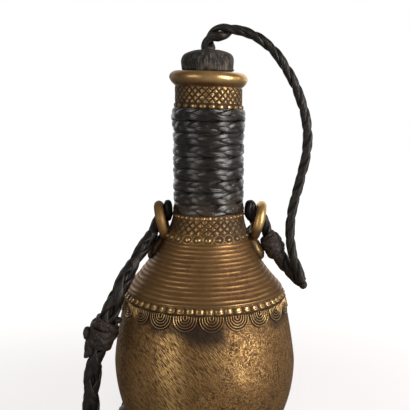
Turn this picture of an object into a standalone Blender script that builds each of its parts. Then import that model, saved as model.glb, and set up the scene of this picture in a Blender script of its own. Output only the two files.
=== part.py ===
"""A cast bronze flask: bound neck, ring lugs, plaited carrying strap and tethered stopper.

Metres, +Z up. The origin is the middle of the base, on the surface that the flask stands on.
Its front looks along -Y. Angles round the flask start at the front and grow towards +X.
"""

import math

import bpy
from mathutils import Vector

TURN = 2 * math.pi

# Fits that every piece shares
seat_gap = 0.0003

# The cast body, from its base to the edge of the shoulder
base_radius = 0.0240
base_fillet = 0.0010
belly_radius = 0.0464
belly_height = 0.0500
edge_radius = 0.0404
edge_height = 0.0856
belly_power = 1.3
wall = 0.0028
floor_thickness = 0.0040
body_columns = 40
cavity_columns = 32
lower_rows = 7
lower_row_power = 1.25
upper_rows = 4
cavity_shoulder_shares = (0.0, 0.22, 0.45, 0.68, 0.88)
cavity_upper_shares = (0.92, 0.7, 0.4, 0.0)
cavity_lower_shares = (0.7, 0.42, 0.2, 0.06)
smooth_angle = math.radians(50)

# The ridged shoulder
shoulder_radius = 0.0398
shoulder_step = 0.0026
shoulder_rise = 0.0382
shoulder_power = 1.6
ridge_count = 14
ridge_depth = 0.0006
foot_band_share = 0.32
clearance_rows = 24

# The hanging scallops below the edge
scallop_count = 21
scallop_first_turn = 4.5 / 360
scallop_reach = 0.0060
scallop_ridges = 4
scallop_relief = 0.0005
scallop_line_drop = 0.0014
scallop_step_drop = 0.0001
scallop_steps = 7

# Rows of cast beads: on the edge, at the neck's foot, below the binding and above it
edge_bead_count = 55
edge_bead_first_turn = 3.2 / 360
edge_bead_height = 0.0030
edge_bead_depth = 0.0010
foot_bead_count = 25
foot_bead_first_turn = 1.0 / 360
foot_bead_height = 0.0026
foot_bead_depth = 0.0009
seam_bead_height = 0.0014
seam_bead_depth = 0.0004
band_bead_count = 23
band_bead_first_turn = 5.0 / 360
band_bead_height = 0.0024
band_bead_depth = 0.0008
bead_shares = (0.0, 0.8, 1.0, 0.8)

# The neck, its upper band and the lip
neck_foot_radius = 0.0180
neck_radius = 0.0156
neck_step = 0.0004
neck_length = 0.0516
band_radius = 0.0167
band_rise = 0.0104
lip_radius = 0.0193
lip_height = 0.0072
bore_radius = 0.0130

# The neck stands off the belly's axis from some way below its foot, and the rim tilts from below the band
neck_offset = 0.0020
offset_reach = 0.0314
rim_tilt = math.radians(2.5)
tilt_reach = 0.0280

# Lip section: shares of its height above its foot, and of its overhang from the band or the bore
lip_outer_shares = ((0.0, -0.1), (0.22, 0.55), (0.50, 1.0), (0.72, 0.94), (0.90, 0.5), (1.0, -0.15))
lip_inner_shares = ((0.99, 0.28), (0.94, 0.08), (0.86, 0.0))

# The leather binding of the neck: one flat plait wound round it
binding_turns = 9
binding_thickness = 0.0022
binding_gap = 0.00055
binding_loop_points = 24
binding_section_shares = ((-0.5, -0.36), (-0.5, 0.36), (0.0, 0.5), (0.5, 0.36), (0.5, -0.36), (0.0, -0.5))

# The cast ring lugs, upright and square to the strap, each with a leaf at its foot
ring_radius = 0.0080
ring_wire_radius = 0.0024
ring_drop = 0.0049
left_ring_reach = 0.0232
left_ring_lean = math.radians(-12.9)
right_ring_reach = 0.0252
right_ring_lean = math.radians(14.2)
ring_steps = 20
wire_steps = 8
leaf_drop = 0.0130
leaf_length = 0.0156
leaf_width = 0.0116
leaf_thickness = 0.0066
leaf_slope = math.radians(33)

# The knot on the neck's side of each ring
ring_knot_half_depth = 0.0038
ring_knot_half_rise = 0.0048

# The carrying strap
strap_radius = 0.0041
strap_thin_share = 0.76
strap_turns = 3.5
strap_loop_points = 24
coil_middle = (0.0, 0.1030)
coil_outer_radius = 0.0450
coil_gap = 0.0005
tie_thickness = 0.0010
tie_width = 0.0040
tie_corner_steps = 4
rest_gap = 0.0001
end_lashing_half_sizes = (0.0040, 0.0050, 0.0058)

# Lashings and knots of thin thong
wrap_thong_radius = 0.0012
wrap_turns = 5
wrap_length = 0.0144
wrap_middle_height = 0.0690
wrap_knob_half_sizes = (0.0020, 0.0024, 0.0031)
wrap_knob_drop = 0.0036
wrap_nub_half_sizes = (0.0018, 0.0018, 0.0016)
wrap_nub_spin = math.radians(26)
barrel_thong_radius = 0.0010
barrel_turns = 5
barrel_length = 0.0123
barrel_middle_height = 0.1084
lashing_loop_points = 16

# The tether of the stopper
cord_radius = 0.0024
knot_radius = 0.0042
knot_flat_share = 0.8
fold_knob_half_sizes = (0.0026, 0.0052, 0.0026)

# The stopper
stopper_radius = 0.0127
stopper_rise = 0.0106
plug_depth = 0.0220
plug_radius = 0.0116
stopper_columns = 28
stopper_shares = ((0.0, 0.94), (0.06, 1.0))
crown_height = 0.0100
crown_shares = ((0.0, 1.0), (0.45, 0.985), (0.66, 0.91), (0.84, 0.72), (0.97, 0.52), (1.0, 0.42))

# Heights that follow from the sizes above
shoulder_height = edge_height + shoulder_step
neck_foot_height = shoulder_height + shoulder_rise
band_height = neck_foot_height + neck_length
lip_foot_height = band_height + band_rise
ring_height = neck_foot_height - ring_drop
leaf_height = ring_height - leaf_drop

# Routes of the cords, point by point, as they hang and lie
strap_left_route = (
    (-0.0209, 0.0, 0.1226), (-0.0228, -0.0003, 0.1216), (-0.0250, -0.0018, 0.1180),
    (-0.0276, -0.0045, 0.1133), (-0.0326, -0.0090, 0.1062), (-0.0363, -0.0130, 0.1000),
    (-0.0397, -0.0160, 0.0940), (-0.0429, -0.0178, 0.0868), (-0.0462, -0.0190, 0.0790),
    (-0.0494, -0.0190, 0.0698), (-0.0525, -0.0190, 0.0608), (-0.0549, -0.0184, 0.0515),
    (-0.0564, -0.0168, 0.0405), (-0.0574, -0.0150, 0.0290), (-0.0578, -0.0134, 0.0190),
    (-0.0580, -0.0102, 0.0102), (-0.0576, -0.0034, 0.0052), (-0.0558, 0.0060, 0.0043),
    (-0.0524, 0.0150, 0.0043), (-0.0478, 0.0238, 0.0043), (-0.0450, 0.0330, 0.0043),
    (-0.0443, 0.0430, 0.0043), (-0.0448, 0.0530, 0.0043), (-0.0458, 0.0640, 0.0044),
    (-0.0460, 0.0750, 0.0048), (-0.0453, 0.0860, 0.0054), (-0.0450, 0.0945, 0.0055),
)
strap_return_route = (
    (0.0450, 0.0945, 0.0142), (0.0448, 0.0870, 0.0137), (0.0432, 0.0785, 0.0118),
    (0.0404, 0.0700, 0.0090), (0.0374, 0.0614, 0.0082), (0.0344, 0.0540, 0.0118),
    (0.0320, 0.0488, 0.0196), (0.0306, 0.0452, 0.0310), (0.0300, 0.0431, 0.0440),
    (0.0295, 0.0420, 0.0560), (0.0286, 0.0408, 0.0680), (0.0273, 0.0392, 0.0790),
    (0.0258, 0.0370, 0.0880), (0.0239, 0.0330, 0.0958), (0.0226, 0.0280, 0.1024),
    (0.0229, 0.0232, 0.1076), (0.0246, 0.0186, 0.1118), (0.0262, 0.0150, 0.1146),
)
ring_cord_route = (
    (0.0266, 0.0, 0.1240), (0.0284, 0.0, 0.1236), (0.0300, 0.0, 0.1220), (0.0309, 0.0, 0.1192),
    (0.0318, 0.0001, 0.1156), (0.0331, 0.0002, 0.1122), (0.0352, 0.0004, 0.1084),
    (0.0374, 0.0006, 0.1046), (0.0403, 0.0009, 0.1004), (0.0434, 0.0011, 0.0960),
    (0.0462, 0.0012, 0.0924), (0.0484, 0.0012, 0.0899),
)
stopper_cord_route = (
    (0.0020, 0.0, 0.2065), (0.0016, 0.0, 0.2082), (0.0019, -0.0001, 0.2104), (0.0036, -0.0003, 0.2128),
    (0.0068, -0.0006, 0.2148), (0.0110, -0.0010, 0.2158), (0.0158, -0.0014, 0.2156),
    (0.0206, -0.0018, 0.2144), (0.0274, -0.0020, 0.2110), (0.0343, -0.0022, 0.2050),
    (0.0397, -0.0026, 0.1974), (0.0437, -0.0028, 0.1904), (0.0473, -0.0030, 0.1818),
    (0.0499, -0.0032, 0.1730), (0.0509, -0.0036, 0.1640), (0.0503, -0.0038, 0.1550),
    (0.0485, -0.0039, 0.1466), (0.0463, -0.0040, 0.1376), (0.0440, -0.0041, 0.1286),
    (0.0426, -0.0042, 0.1192), (0.0431, -0.0043, 0.1106), (0.0452, -0.0044, 0.1030),
    (0.0480, -0.0044, 0.0968), (0.0501, -0.0044, 0.0908),
)
wrap_tail_route = (
    (-0.0594, -0.0190, 0.0652), (-0.0601, -0.0193, 0.0622), (-0.0602, -0.0196, 0.0592),
    (-0.0594, -0.0197, 0.0564),
)


def eased(value, start, end):
    """A share that turns smoothly from 0 at start to 1 at end."""
    share = min(max((value - start) / (end - start), 0), 1)
    return share * share * (3 - 2 * share)


def leaned(x, y, z):
    """A point of the casting, moved as the neck stands off the belly's axis and the rim tilts."""
    shifted = x + neck_offset * eased(z, neck_foot_height - offset_reach, neck_foot_height + 4 * neck_step)
    dropped = math.tan(rim_tilt) * x * eased(z, band_height - tilt_reach, lip_foot_height - 6 * neck_step)
    return Vector((shifted, y, z - dropped))


def round_point(angle, radius, height):
    return leaned(radius * math.sin(angle), -radius * math.cos(angle), height)


def belly_line(height):
    """The plain outline from the base to the edge: an ellipse below, and a curve that draws in above."""
    if height < belly_height:
        depth = belly_height / math.sqrt(1 - (base_radius / belly_radius) ** 2)
        return belly_radius * math.sqrt(1 - ((belly_height - height) / depth) ** 2)
    share = min((height - belly_height) / (edge_height - belly_height), 1)
    return belly_radius - (belly_radius - edge_radius) * share**belly_power


def shoulder_line(height):
    """The hollow cone that the crests of the shoulder's ridges lie on."""
    share = (height - shoulder_height) / (neck_foot_height - shoulder_height)
    share = min(max(share, 0), 1)
    return neck_foot_radius + (shoulder_radius - neck_foot_radius) * (1 - share) ** shoulder_power


def outline(height):
    return belly_line(height) if height < edge_height else min(edge_radius, shoulder_line(height))


def plain_row(radius, height, columns=body_columns):
    return [(TURN * k / columns, radius, height) for k in range(columns)]


def beaded_row(radius, height, count, depth, first_turn):
    """A row whose radius swells at each bead."""
    row = []
    steps = len(bead_shares)
    for k in range(count):
        for j, share in enumerate(bead_shares):
            turn = (first_turn + (k + j / steps - 1 / 2) / count) % 1
            row.append((TURN * turn, radius + depth * share, height))
    return sorted(row)


def scallop_row(reach, drop, relief):
    """A row that hangs in a half circle of this reach below the line at each scallop."""
    line = edge_height - edge_bead_height / 2 - drop
    steps = max(4, round(scallop_steps * reach / scallop_reach))
    row = []
    for k in range(scallop_count):
        middle = scallop_first_turn + k / scallop_count
        for j in range(steps + 1):
            bend = math.pi * j / steps
            across = -reach * math.cos(bend) / (TURN * edge_radius)
            height = line - reach * math.sin(bend)
            swell = relief if 0 < j < steps else 0
            row.append((TURN * ((middle + across) % 1), belly_line(height) + swell, height))
    return sorted(row)


def body_rows():
    """The belly up to the foot of the scallops, then the scallops, each with its nested ridges."""
    rows = [plain_row(base_radius - base_fillet, 0)]
    for k in range(lower_rows):
        height = base_fillet + (belly_height - base_fillet) * (k / lower_rows) ** lower_row_power
        rows.append(plain_row(belly_line(height), height))
    foot = edge_height - edge_bead_height / 2 - scallop_line_drop - scallop_reach - scallop_relief
    for k in range(upper_rows):
        height = belly_height + (foot - belly_height) * k / (upper_rows - 1)
        rows.append(plain_row(belly_line(height), height))
    bands = 2 * scallop_ridges + 1
    for k in range(bands):
        reach = scallop_reach * (1 - k / (bands + 1))
        drop = scallop_line_drop - scallop_step_drop * k
        rows.append(scallop_row(reach, drop, scallop_relief if k % 2 else 0))
    return rows


def shoulder_rows():
    """The row of pellets on the edge, the ridges, and the beads at the neck's foot."""
    half_bead = edge_bead_height / 2
    rows = [
        plain_row(belly_line(edge_height - half_bead), edge_height - half_bead, 2 * edge_bead_count),
        beaded_row(edge_radius, edge_height, edge_bead_count, edge_bead_depth, edge_bead_first_turn),
        plain_row(outline(edge_height + half_bead) - ridge_depth, edge_height + half_bead),
    ]
    foot, top = edge_height + half_bead, ridges_top()
    pitch = (top - foot) / ridge_count
    for k in range(ridge_count):
        crest = foot + pitch * (k + 1 / 2)
        rows.append(plain_row(shoulder_line(crest), crest))
        groove = foot + pitch * (k + 1)
        rows.append(plain_row(shoulder_line(groove) - ridge_depth, groove))
    bead = top + foot_bead_height / 2
    radius = shoulder_line(bead)
    rows.append(beaded_row(radius, bead, foot_bead_count, foot_bead_depth, foot_bead_first_turn))
    bead_end = top + foot_bead_height
    rows.append(plain_row(shoulder_line(bead_end) - ridge_depth, bead_end))
    seam = neck_foot_height - seam_bead_height
    rows.append(plain_row(shoulder_line(seam), seam))
    seam_bead = neck_foot_height - seam_bead_height / 2
    rows.append(
        beaded_row(neck_foot_radius, seam_bead, foot_bead_count, seam_bead_depth, foot_bead_first_turn)
    )
    return rows


def ridges_top():
    """Where the ridges end and the large beads at the neck's foot begin."""
    return neck_foot_height - (neck_foot_height - edge_height) * foot_band_share


def neck_rows():
    """The bare neck under the binding, the beaded band above it, and the rolled lip down to the bore."""
    bead = band_height + band_bead_height / 2
    rows = [
        plain_row(neck_foot_radius, neck_foot_height),
        plain_row(neck_radius, neck_foot_height + neck_step),
        plain_row(neck_radius, (neck_foot_height + band_height) / 2),
        plain_row(neck_radius, band_height - neck_step),
        plain_row(band_radius, band_height),
        beaded_row(band_radius, bead, band_bead_count, band_bead_depth, band_bead_first_turn),
        plain_row(band_radius, band_height + band_bead_height),
        plain_row(band_radius, lip_foot_height - neck_step),
    ]
    overhang = lip_radius - band_radius
    for up, out in lip_outer_shares:
        rows.append(plain_row(band_radius + overhang * out, lip_foot_height + lip_height * up))
    for up, out in lip_inner_shares:
        radius = bore_radius + (band_radius - bore_radius) * out
        rows.append(plain_row(radius, lip_foot_height + lip_height * up))
    return rows


def cavity_radius(height):
    """The inside of the wall, whose thickness is measured square to the outline."""
    step = wall / 4
    slope = (outline(height + step) - outline(height - step)) / (2 * step)
    return max(outline(height) - wall * math.sqrt(1 + slope * slope), bore_radius)


def cavity_rows():
    """The bore and the hollow, from the lip down to the floor."""
    rows = [plain_row(bore_radius, height, cavity_columns) for height in (band_height, neck_foot_height)]
    top = neck_foot_height - wall
    drop = top - edge_height
    for share in cavity_shoulder_shares:
        height = top - drop * share
        rows.append(plain_row(cavity_radius(height), height, cavity_columns))
    for share in cavity_upper_shares:
        height = belly_height + (edge_height - wall - belly_height) * share
        rows.append(plain_row(cavity_radius(height), height, cavity_columns))
    for share in cavity_lower_shares:
        height = floor_thickness + (belly_height - floor_thickness) * share
        rows.append(plain_row(belly_line(height) - wall, height, cavity_columns))
    rows.append(plain_row(belly_line(floor_thickness) - 2 * wall, floor_thickness, cavity_columns))
    return rows


def stitched(row, start, next_row, next_start):
    """Triangles between two rows of points that go round the same axis, each with its own count."""
    faces = []
    count, next_count = len(row), len(next_row)
    i = j = 0
    while i < count or j < next_count:
        angle = row[(i + 1) % count][0] + TURN * ((i + 1) // count)
        next_angle = next_row[(j + 1) % next_count][0] + TURN * ((j + 1) // next_count)
        here, other = start + i % count, next_start + j % next_count
        if j >= next_count or (i < count and angle <= next_angle):
            faces.append((here, start + (i + 1) % count, other))
            i += 1
        else:
            faces.append((here, next_start + (j + 1) % next_count, other))
            j += 1
    return faces


def add_object(name, points, faces, material):
    mesh = bpy.data.meshes.new(name)
    mesh.from_pydata([tuple(point) for point in points], [], faces)
    mesh.materials.append(material)
    mesh.validate()
    mesh.shade_smooth()
    mesh.set_sharp_from_angle(angle=smooth_angle)
    made = bpy.data.objects.new(name, mesh)
    bpy.context.scene.collection.objects.link(made)
    return made


def revolved(name, rows, material, bored=False, place=round_point):
    """A closed solid of rows from its foot up. A bored one closes on its first row, others on their axis."""
    points = []
    starts = []
    for row in rows:
        starts.append(len(points))
        points.extend(place(*point) for point in row)
    faces = []
    for k in range(len(rows) - 1):
        faces.extend(stitched(rows[k], starts[k], rows[k + 1], starts[k + 1]))
    if bored:
        faces.extend(stitched(rows[-1], starts[-1], rows[0], starts[0]))
        return add_object(name, points, faces, material)
    foot, top = len(points), len(points) + 1
    points.extend((place(0, 0, rows[0][0][2]), place(0, 0, rows[-1][0][2])))
    count = len(rows[0])
    faces.extend((foot, (k + 1) % count, k) for k in range(count))
    count = len(rows[-1])
    faces.extend((starts[-1] + k, starts[-1] + (k + 1) % count, top) for k in range(count))
    return add_object(name, points, faces, material)


def principled(name, color, roughness, metallic=0.0):
    made = bpy.data.materials.new(name)
    made.use_nodes = True
    shader = made.node_tree.nodes["Principled BSDF"]
    shader.inputs["Base Color"].default_value = (*color, 1)
    shader.inputs["Roughness"].default_value = roughness
    shader.inputs["Metallic"].default_value = metallic
    made.diffuse_color = (*color, 1)
    return made


def as_cutter(made):
    made.hide_render = True
    made.display_type = "WIRE"
    return made


def add_boolean(made, operation, other):
    modifier = made.modifiers.new(operation.lower() + "_" + other.name, "BOOLEAN")
    modifier.operation = operation
    modifier.solver = "EXACT"
    modifier.object = other


def ball(name, middle, half_sizes, material, columns=12, rows=7):
    """A lump with three half sizes, as a ball stretched along the axes."""
    points = []
    for k in range(1, rows):
        rise = math.pi * k / rows
        for j in range(columns):
            spin = TURN * j / columns
            unit = (math.sin(rise) * math.sin(spin), -math.sin(rise) * math.cos(spin), -math.cos(rise))
            points.append([a * b for a, b in zip(unit, half_sizes)])
    faces = []
    for k in range(rows - 2):
        for j in range(columns):
            here, beside = k * columns + j, k * columns + (j + 1) % columns
            faces.append((here, beside, beside + columns, here + columns))
    foot, top = len(points), len(points) + 1
    points.extend(((0, 0, -half_sizes[2]), (0, 0, half_sizes[2])))
    last = (rows - 2) * columns
    for j in range(columns):
        faces.append((foot, (j + 1) % columns, j))
        faces.append((last + j, last + (j + 1) % columns, top))
    made = add_object(name, points, faces, material)
    made.location = middle
    return made


def seated_ball(name, seat, direction, half_sizes, material, columns=12, rows=7):
    """A lump that stands on a point of its seat, out along this direction."""
    reach = Vector(a * b for a, b in zip(direction, half_sizes)).length
    return ball(name, seat + direction * reach, half_sizes, material, columns, rows)


def smooth_route(route, spacing):
    """Points at an even spacing along a smooth curve through the route's own points."""
    knots = [Vector(point) for point in route]
    ends = [2 * knots[0] - knots[1], *knots, 2 * knots[-1] - knots[-2]]
    fine = []
    steps = 12
    for k in range(1, len(ends) - 2):
        before, here, after, beyond = ends[k - 1 : k + 3]
        for j in range(steps):
            t = j / steps
            bend = (2 * before - 5 * here + 4 * after - beyond) * t * t
            twist = (3 * here - before - 3 * after + beyond) * t * t * t
            fine.append((2 * here + (after - before) * t + bend + twist) / 2)
    fine.append(knots[-1])
    return resampled(fine, spacing)


def resampled(fine, spacing):
    lengths = [0.0]
    for here, after in zip(fine, fine[1:]):
        lengths.append(lengths[-1] + (after - here).length)
    count = max(2, round(lengths[-1] / spacing) + 1)
    points = []
    k = 0
    for j in range(count):
        along = lengths[-1] * j / (count - 1)
        while k < len(fine) - 2 and lengths[k + 1] < along:
            k += 1
        share = (along - lengths[k]) / (lengths[k + 1] - lengths[k])
        points.append(fine[k].lerp(fine[k + 1], min(max(share, 0), 1)))
    return points


def route_length(points):
    return sum((after - here).length for here, after in zip(points, points[1:]))


def tube(name, points, radius, material, sides_step=2, swell=None):
    """A round cord through the points, closed at both ends. swell gives each point's share of the radius."""
    curve = bpy.data.curves.new(name, "CURVE")
    curve.dimensions = "3D"
    curve.bevel_depth = radius
    curve.bevel_resolution = sides_step
    curve.use_fill_caps = True
    curve.materials.append(material)
    spline = curve.splines.new("POLY")
    spline.points.add(len(points) - 1)
    for k, point in enumerate(points):
        spline.points[k].co = (*point, 1)
        spline.points[k].radius = swell[k] if swell else 1.0
    spline.use_smooth = True
    made = bpy.data.objects.new(name, curve)
    bpy.context.scene.collection.objects.link(made)
    return made


def least_gap(points, thickness, apart):
    """The least space between stretches of one cord whose points are at least this many steps apart."""
    least = None
    for k, point in enumerate(points):
        for other in points[k + apart :]:
            space = (point - other).length - thickness
            least = space if least is None else min(least, space)
    return least


def straight_ends(points, reach):
    """The same points with one more at each end, straight on, a cord's thickness away."""
    first = points[0] + (points[0] - points[1]).normalized() * reach
    last = points[-1] + (points[-1] - points[-2]).normalized() * reach
    return [first, *points, last]


def cord_frame(route, height):
    """Where a route passes this height, the way it runs there, and its side and front square to that."""
    fine = smooth_route(route, cord_radius / 4)
    k = min(range(1, len(fine) - 1), key=lambda k: abs(fine[k].z - height))
    axis = (fine[k + 1] - fine[k - 1]).normalized()
    side = axis.cross(Vector((0, 1, 0))).normalized()
    return fine[k], axis, side, axis.cross(side)


def lashing(name, route, middle_height, length, radius, core_radius, turns, material):
    """Thin thong wound closely round a cord, over a length whose middle is at this height."""
    middle, axis, side, front = cord_frame(route, middle_height)
    steps = turns * lashing_loop_points
    helix_radius = core_radius + seat_gap + radius
    points = []
    for k in range(steps + 1):
        along = length * (k / steps - 1 / 2)
        spin = TURN * k / lashing_loop_points
        out = side * math.cos(spin) + front * math.sin(spin)
        points.append(middle + axis * along + out * helix_radius)
    print(name, "least gap", round(least_gap(points, 2 * radius, lashing_loop_points // 2), 5))
    return tube(name, straight_ends(points, 2 * radius), radius, material, 1)


def flask_body(material):
    rows = body_rows() + shoulder_rows() + neck_rows() + cavity_rows()
    return revolved("flask_body", rows, material)


def neck_binding(material):
    """A flat plait, wound in courses that lie close above one another on the bare neck."""
    foot = neck_foot_height + neck_step + seat_gap
    top = band_height - neck_step - seat_gap
    pitch = (top - foot) / (binding_turns + 1)
    height = pitch - binding_gap
    radius = neck_radius + seat_gap + binding_thickness / 2
    steps = binding_turns * binding_loop_points
    sides = len(binding_section_shares)
    points = []
    rings = []
    for k in range(steps + 1):
        angle = TURN * k / binding_loop_points
        middle = foot + pitch / 2 + (top - foot - pitch) * k / steps
        ring = []
        for out, up in binding_section_shares:
            ring.append(round_point(angle, radius + out * binding_thickness, middle + up * height))
        rings.append(ring)
    gaps = [
        (a - b).length
        for k in range(steps + 1 - binding_loop_points)
        for a in rings[k]
        for b in rings[k + binding_loop_points]
    ]
    print("neck_binding least gap", round(min(gaps), 5))
    ahead = (rings[0][2] - rings[1][2]).normalized() * binding_thickness
    rings.insert(0, [point + ahead for point in rings[0]])
    ahead = (rings[-1][2] - rings[-2][2]).normalized() * binding_thickness
    rings.append([point + ahead for point in rings[-1]])
    for ring in rings:
        points.extend(ring)
    faces = [tuple(reversed(range(sides)))]
    for k in range(len(rings) - 1):
        for j in range(sides):
            here, beside = k * sides + j, k * sides + (j + 1) % sides
            faces.append((here, beside, beside + sides, here + sides))
    faces.append(tuple(range(len(points) - sides, len(points))))
    return add_object("neck_binding", points, faces, material)


def clearance_solid(material):
    """The casting's outside with a seat's gap added, to cut what stands on the shoulder."""
    foot, top = belly_height, neck_foot_height
    rows = []
    for k in range(clearance_rows + 1):
        height = foot + (top - foot) * k / clearance_rows
        near_beads = ridges_top() < height < ridges_top() + foot_bead_height + ridge_depth
        relief = foot_bead_depth if near_beads else 0
        rows.append(plain_row(outline(height) + relief + seat_gap, height))
    reach = neck_radius + binding_thickness + 2 * seat_gap
    rows.append(plain_row(reach, top + neck_step))
    rows.append(plain_row(reach, band_height))
    return as_cutter(revolved("shoulder_clearance", rows, material))


def ring_solid(name, middle, lean, wire_radius, material):
    """A ring whose plane holds the Y axis and leans from upright about it."""
    points = []
    for k in range(ring_steps):
        around = TURN * k / ring_steps
        for j in range(wire_steps):
            bend = TURN * j / wire_steps
            reach = ring_radius + wire_radius * math.cos(bend)
            points.append((wire_radius * math.sin(bend), reach * math.sin(around), reach * math.cos(around)))
    faces = []
    for k in range(ring_steps):
        for j in range(wire_steps):
            here, beside = k * wire_steps + j, k * wire_steps + (j + 1) % wire_steps
            after = ((k + 1) % ring_steps) * wire_steps
            faces.append((here, beside, after + (j + 1) % wire_steps, after + j))
    made = add_object(name, points, faces, material)
    made.location = middle
    made.rotation_euler.y = lean
    return made


def ring_middle(reach):
    """The middle of a ring, this far out from the axis of the neck's foot."""
    return leaned(reach, 0, ring_height)


def ring_lug(name, side, reach, lean, clearance, material):
    """A ring cast in one with the leaf that it stands on, fitted to the shoulder."""
    lug = ring_solid(name, ring_middle(side * reach), lean, ring_wire_radius, material)
    place = leaned(side * (outline(leaf_height) + seat_gap), 0, leaf_height)
    leaf = ball(name + "_leaf", place, (leaf_thickness / 2, leaf_width / 2, leaf_length / 2), material)
    leaf.rotation_euler.y = -side * leaf_slope
    as_cutter(leaf)
    add_boolean(lug, "UNION", leaf)
    add_boolean(lug, "DIFFERENCE", clearance)
    return lug


def strap_swell(points):
    """The strap's share of its full radius: thin where it passes the rings, full below."""
    return [1 - (1 - strap_thin_share) * eased(point.z, edge_height - wall, leaf_height) for point in points]


def coil_points():
    """Loops that spiral in on the floor, climb a layer where they reverse, and spiral out again."""
    pitch = 2 * strap_radius + coil_gap
    low = rest_gap + tie_thickness + seat_gap + strap_radius
    steps = round(strap_turns * strap_loop_points)
    points = []
    for k in range(steps + 1):
        turned = strap_turns * k / steps
        inward = strap_turns / 2 - abs(turned - strap_turns / 2)
        radius = coil_outer_radius - pitch * inward
        climb = eased(turned, strap_turns / 2 - 1 / 4, strap_turns / 2 + 1 / 4)
        angle = TURN * turned
        points.append(
            Vector(
                (
                    coil_middle[0] - radius * math.cos(angle),
                    coil_middle[1] + radius * math.sin(angle),
                    low + pitch * climb,
                )
            )
        )
    return points


def strap_coil(material):
    points = coil_points()
    print("strap_coil least gap", round(least_gap(points, 2 * strap_radius, strap_loop_points // 2), 5))
    reach = Vector((0, -2 * strap_radius, 0))
    points = [points[0] + reach, *points, points[-1] + reach]
    print("strap_coil length", round(route_length(points), 4))
    tube("strap_coil", points, strap_radius, material, 1)


def coil_tie(material):
    """A flat thong round the bundle of turns at the back of the coil."""
    pitch = 2 * strap_radius + coil_gap
    half_height = (pitch + 2 * strap_radius) / 2 + seat_gap
    outer = coil_outer_radius - pitch / 4 + strap_radius + seat_gap
    inner = outer - pitch - 2 * strap_radius - 2 * seat_gap
    half_width = (outer - inner) / 2 + 2 * seat_gap
    corner = strap_radius / 2
    loops = []
    for grow in (0, tie_thickness):
        loop = []
        for quarter in range(4):
            for j in range(tie_corner_steps + 1):
                bend = TURN * (quarter + j / tie_corner_steps) / 4
                side_y = 1 if quarter in (0, 3) else -1
                side_z = 1 if quarter in (0, 1) else -1
                y = side_y * (half_width - corner) + (corner + grow) * math.cos(bend)
                z = side_z * (half_height - corner) + (corner + grow) * math.sin(bend)
                loop.append((y, z))
        loops.append(loop)
    count = len(loops[0])
    points = []
    for x, loop in ((-1, loops[0]), (1, loops[0]), (1, loops[1]), (-1, loops[1])):
        points.extend((x * tie_width / 2, y, z) for y, z in loop)
    faces = []
    for k in range(4):
        for j in range(count):
            here, beside = k * count + j, k * count + (j + 1) % count
            after = ((k + 1) % 4) * count
            faces.append((here, after + j, after + (j + 1) % count, beside))
    made = add_object("coil_tie", points, faces, material)
    rise = rest_gap + tie_thickness + half_height
    made.location = (coil_middle[0], coil_middle[1] + (outer + inner) / 2, rise)
    return made


def carrying_strap(material, thong):
    left = smooth_route(strap_left_route, 2 * strap_radius)
    tube("strap_left_run", left, strap_radius, material, 2, strap_swell(left))
    strap_coil(material)
    back = smooth_route(strap_return_route, 2 * strap_radius)
    tube("strap_return_run", back, strap_radius, material, 2, strap_swell(back))
    print("strap runs", round(route_length(left), 4), round(route_length(back), 4))
    coil_tie(thong)
    lashing(
        "strap_wrap_knot", strap_left_route, wrap_middle_height, wrap_length,
        wrap_thong_radius, strap_radius, wrap_turns, thong,
    )
    middle, axis, side, front = cord_frame(strap_left_route, wrap_middle_height)
    seat = middle + axis * wrap_knob_drop - side * (strap_radius + 2 * wrap_thong_radius + 2 * seat_gap)
    seated_ball("wrap_knob", seat, -side, wrap_knob_half_sizes, thong)
    out = side * math.cos(wrap_nub_spin) + front * math.sin(wrap_nub_spin)
    past = wrap_length / 2 + wrap_thong_radius + seat_gap + wrap_nub_half_sizes[2]
    seat = middle - axis * past + out * (strap_radius + seat_gap)
    seated_ball("wrap_nub", seat, out, wrap_nub_half_sizes, thong, 8, 6)
    tube("wrap_tail", smooth_route(wrap_tail_route, 3 * wrap_thong_radius), wrap_thong_radius, thong)


def ring_knots(strap, thong):
    """The knot on the neck's side of each ring, and the lashing that ties the strap to the right ring."""
    reach = neck_radius + seat_gap + binding_thickness + seat_gap
    left, right = ring_middle(-left_ring_reach), ring_middle(right_ring_reach)
    for name, side, ring in (("left_ring_knot", -1, left), ("right_ring_knot", 1, right)):
        inner = neck_offset + side * reach
        outer = ring.x - side * ring_wire_radius / 3
        half_sizes = (abs(inner - outer) / 2, ring_knot_half_depth, ring_knot_half_rise)
        ball(name, ((inner + outer) / 2, 0, neck_foot_height + neck_step), half_sizes, strap)
    middle = right + Vector((0, ring_radius + ring_wire_radius * 3 / 4, 0))
    lump = ball("strap_end_lashing", middle, end_lashing_half_sizes, thong)
    groove = ring_solid("lashing_groove", right, right_ring_lean, ring_wire_radius + seat_gap, thong)
    add_boolean(lump, "DIFFERENCE", as_cutter(groove))


def stopper_tether(material, thong):
    """The cord that holds the stopper: from the ring, through its lashing, over the fold to the stopper."""
    ring_cord = smooth_route(ring_cord_route, 2 * cord_radius)
    tube("ring_cord", ring_cord, cord_radius, material, 2)
    lashing(
        "barrel_knot", ring_cord_route, barrel_middle_height, barrel_length,
        barrel_thong_radius, cord_radius, barrel_turns, thong,
    )
    free = smooth_route(stopper_cord_route, 2 * cord_radius)
    tube("stopper_cord", free, cord_radius, material, 2)
    heading = (ring_cord[-1] - ring_cord[-2] + free[-1] - free[-2]).normalized()
    seat = (ring_cord[-1] + free[-1]) / 2 + heading * 2 * seat_gap
    seated_ball("fold_knob", seat, heading, fold_knob_half_sizes, thong)
    print("tether", round(route_length(ring_cord), 4), round(route_length(free), 4))


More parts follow.
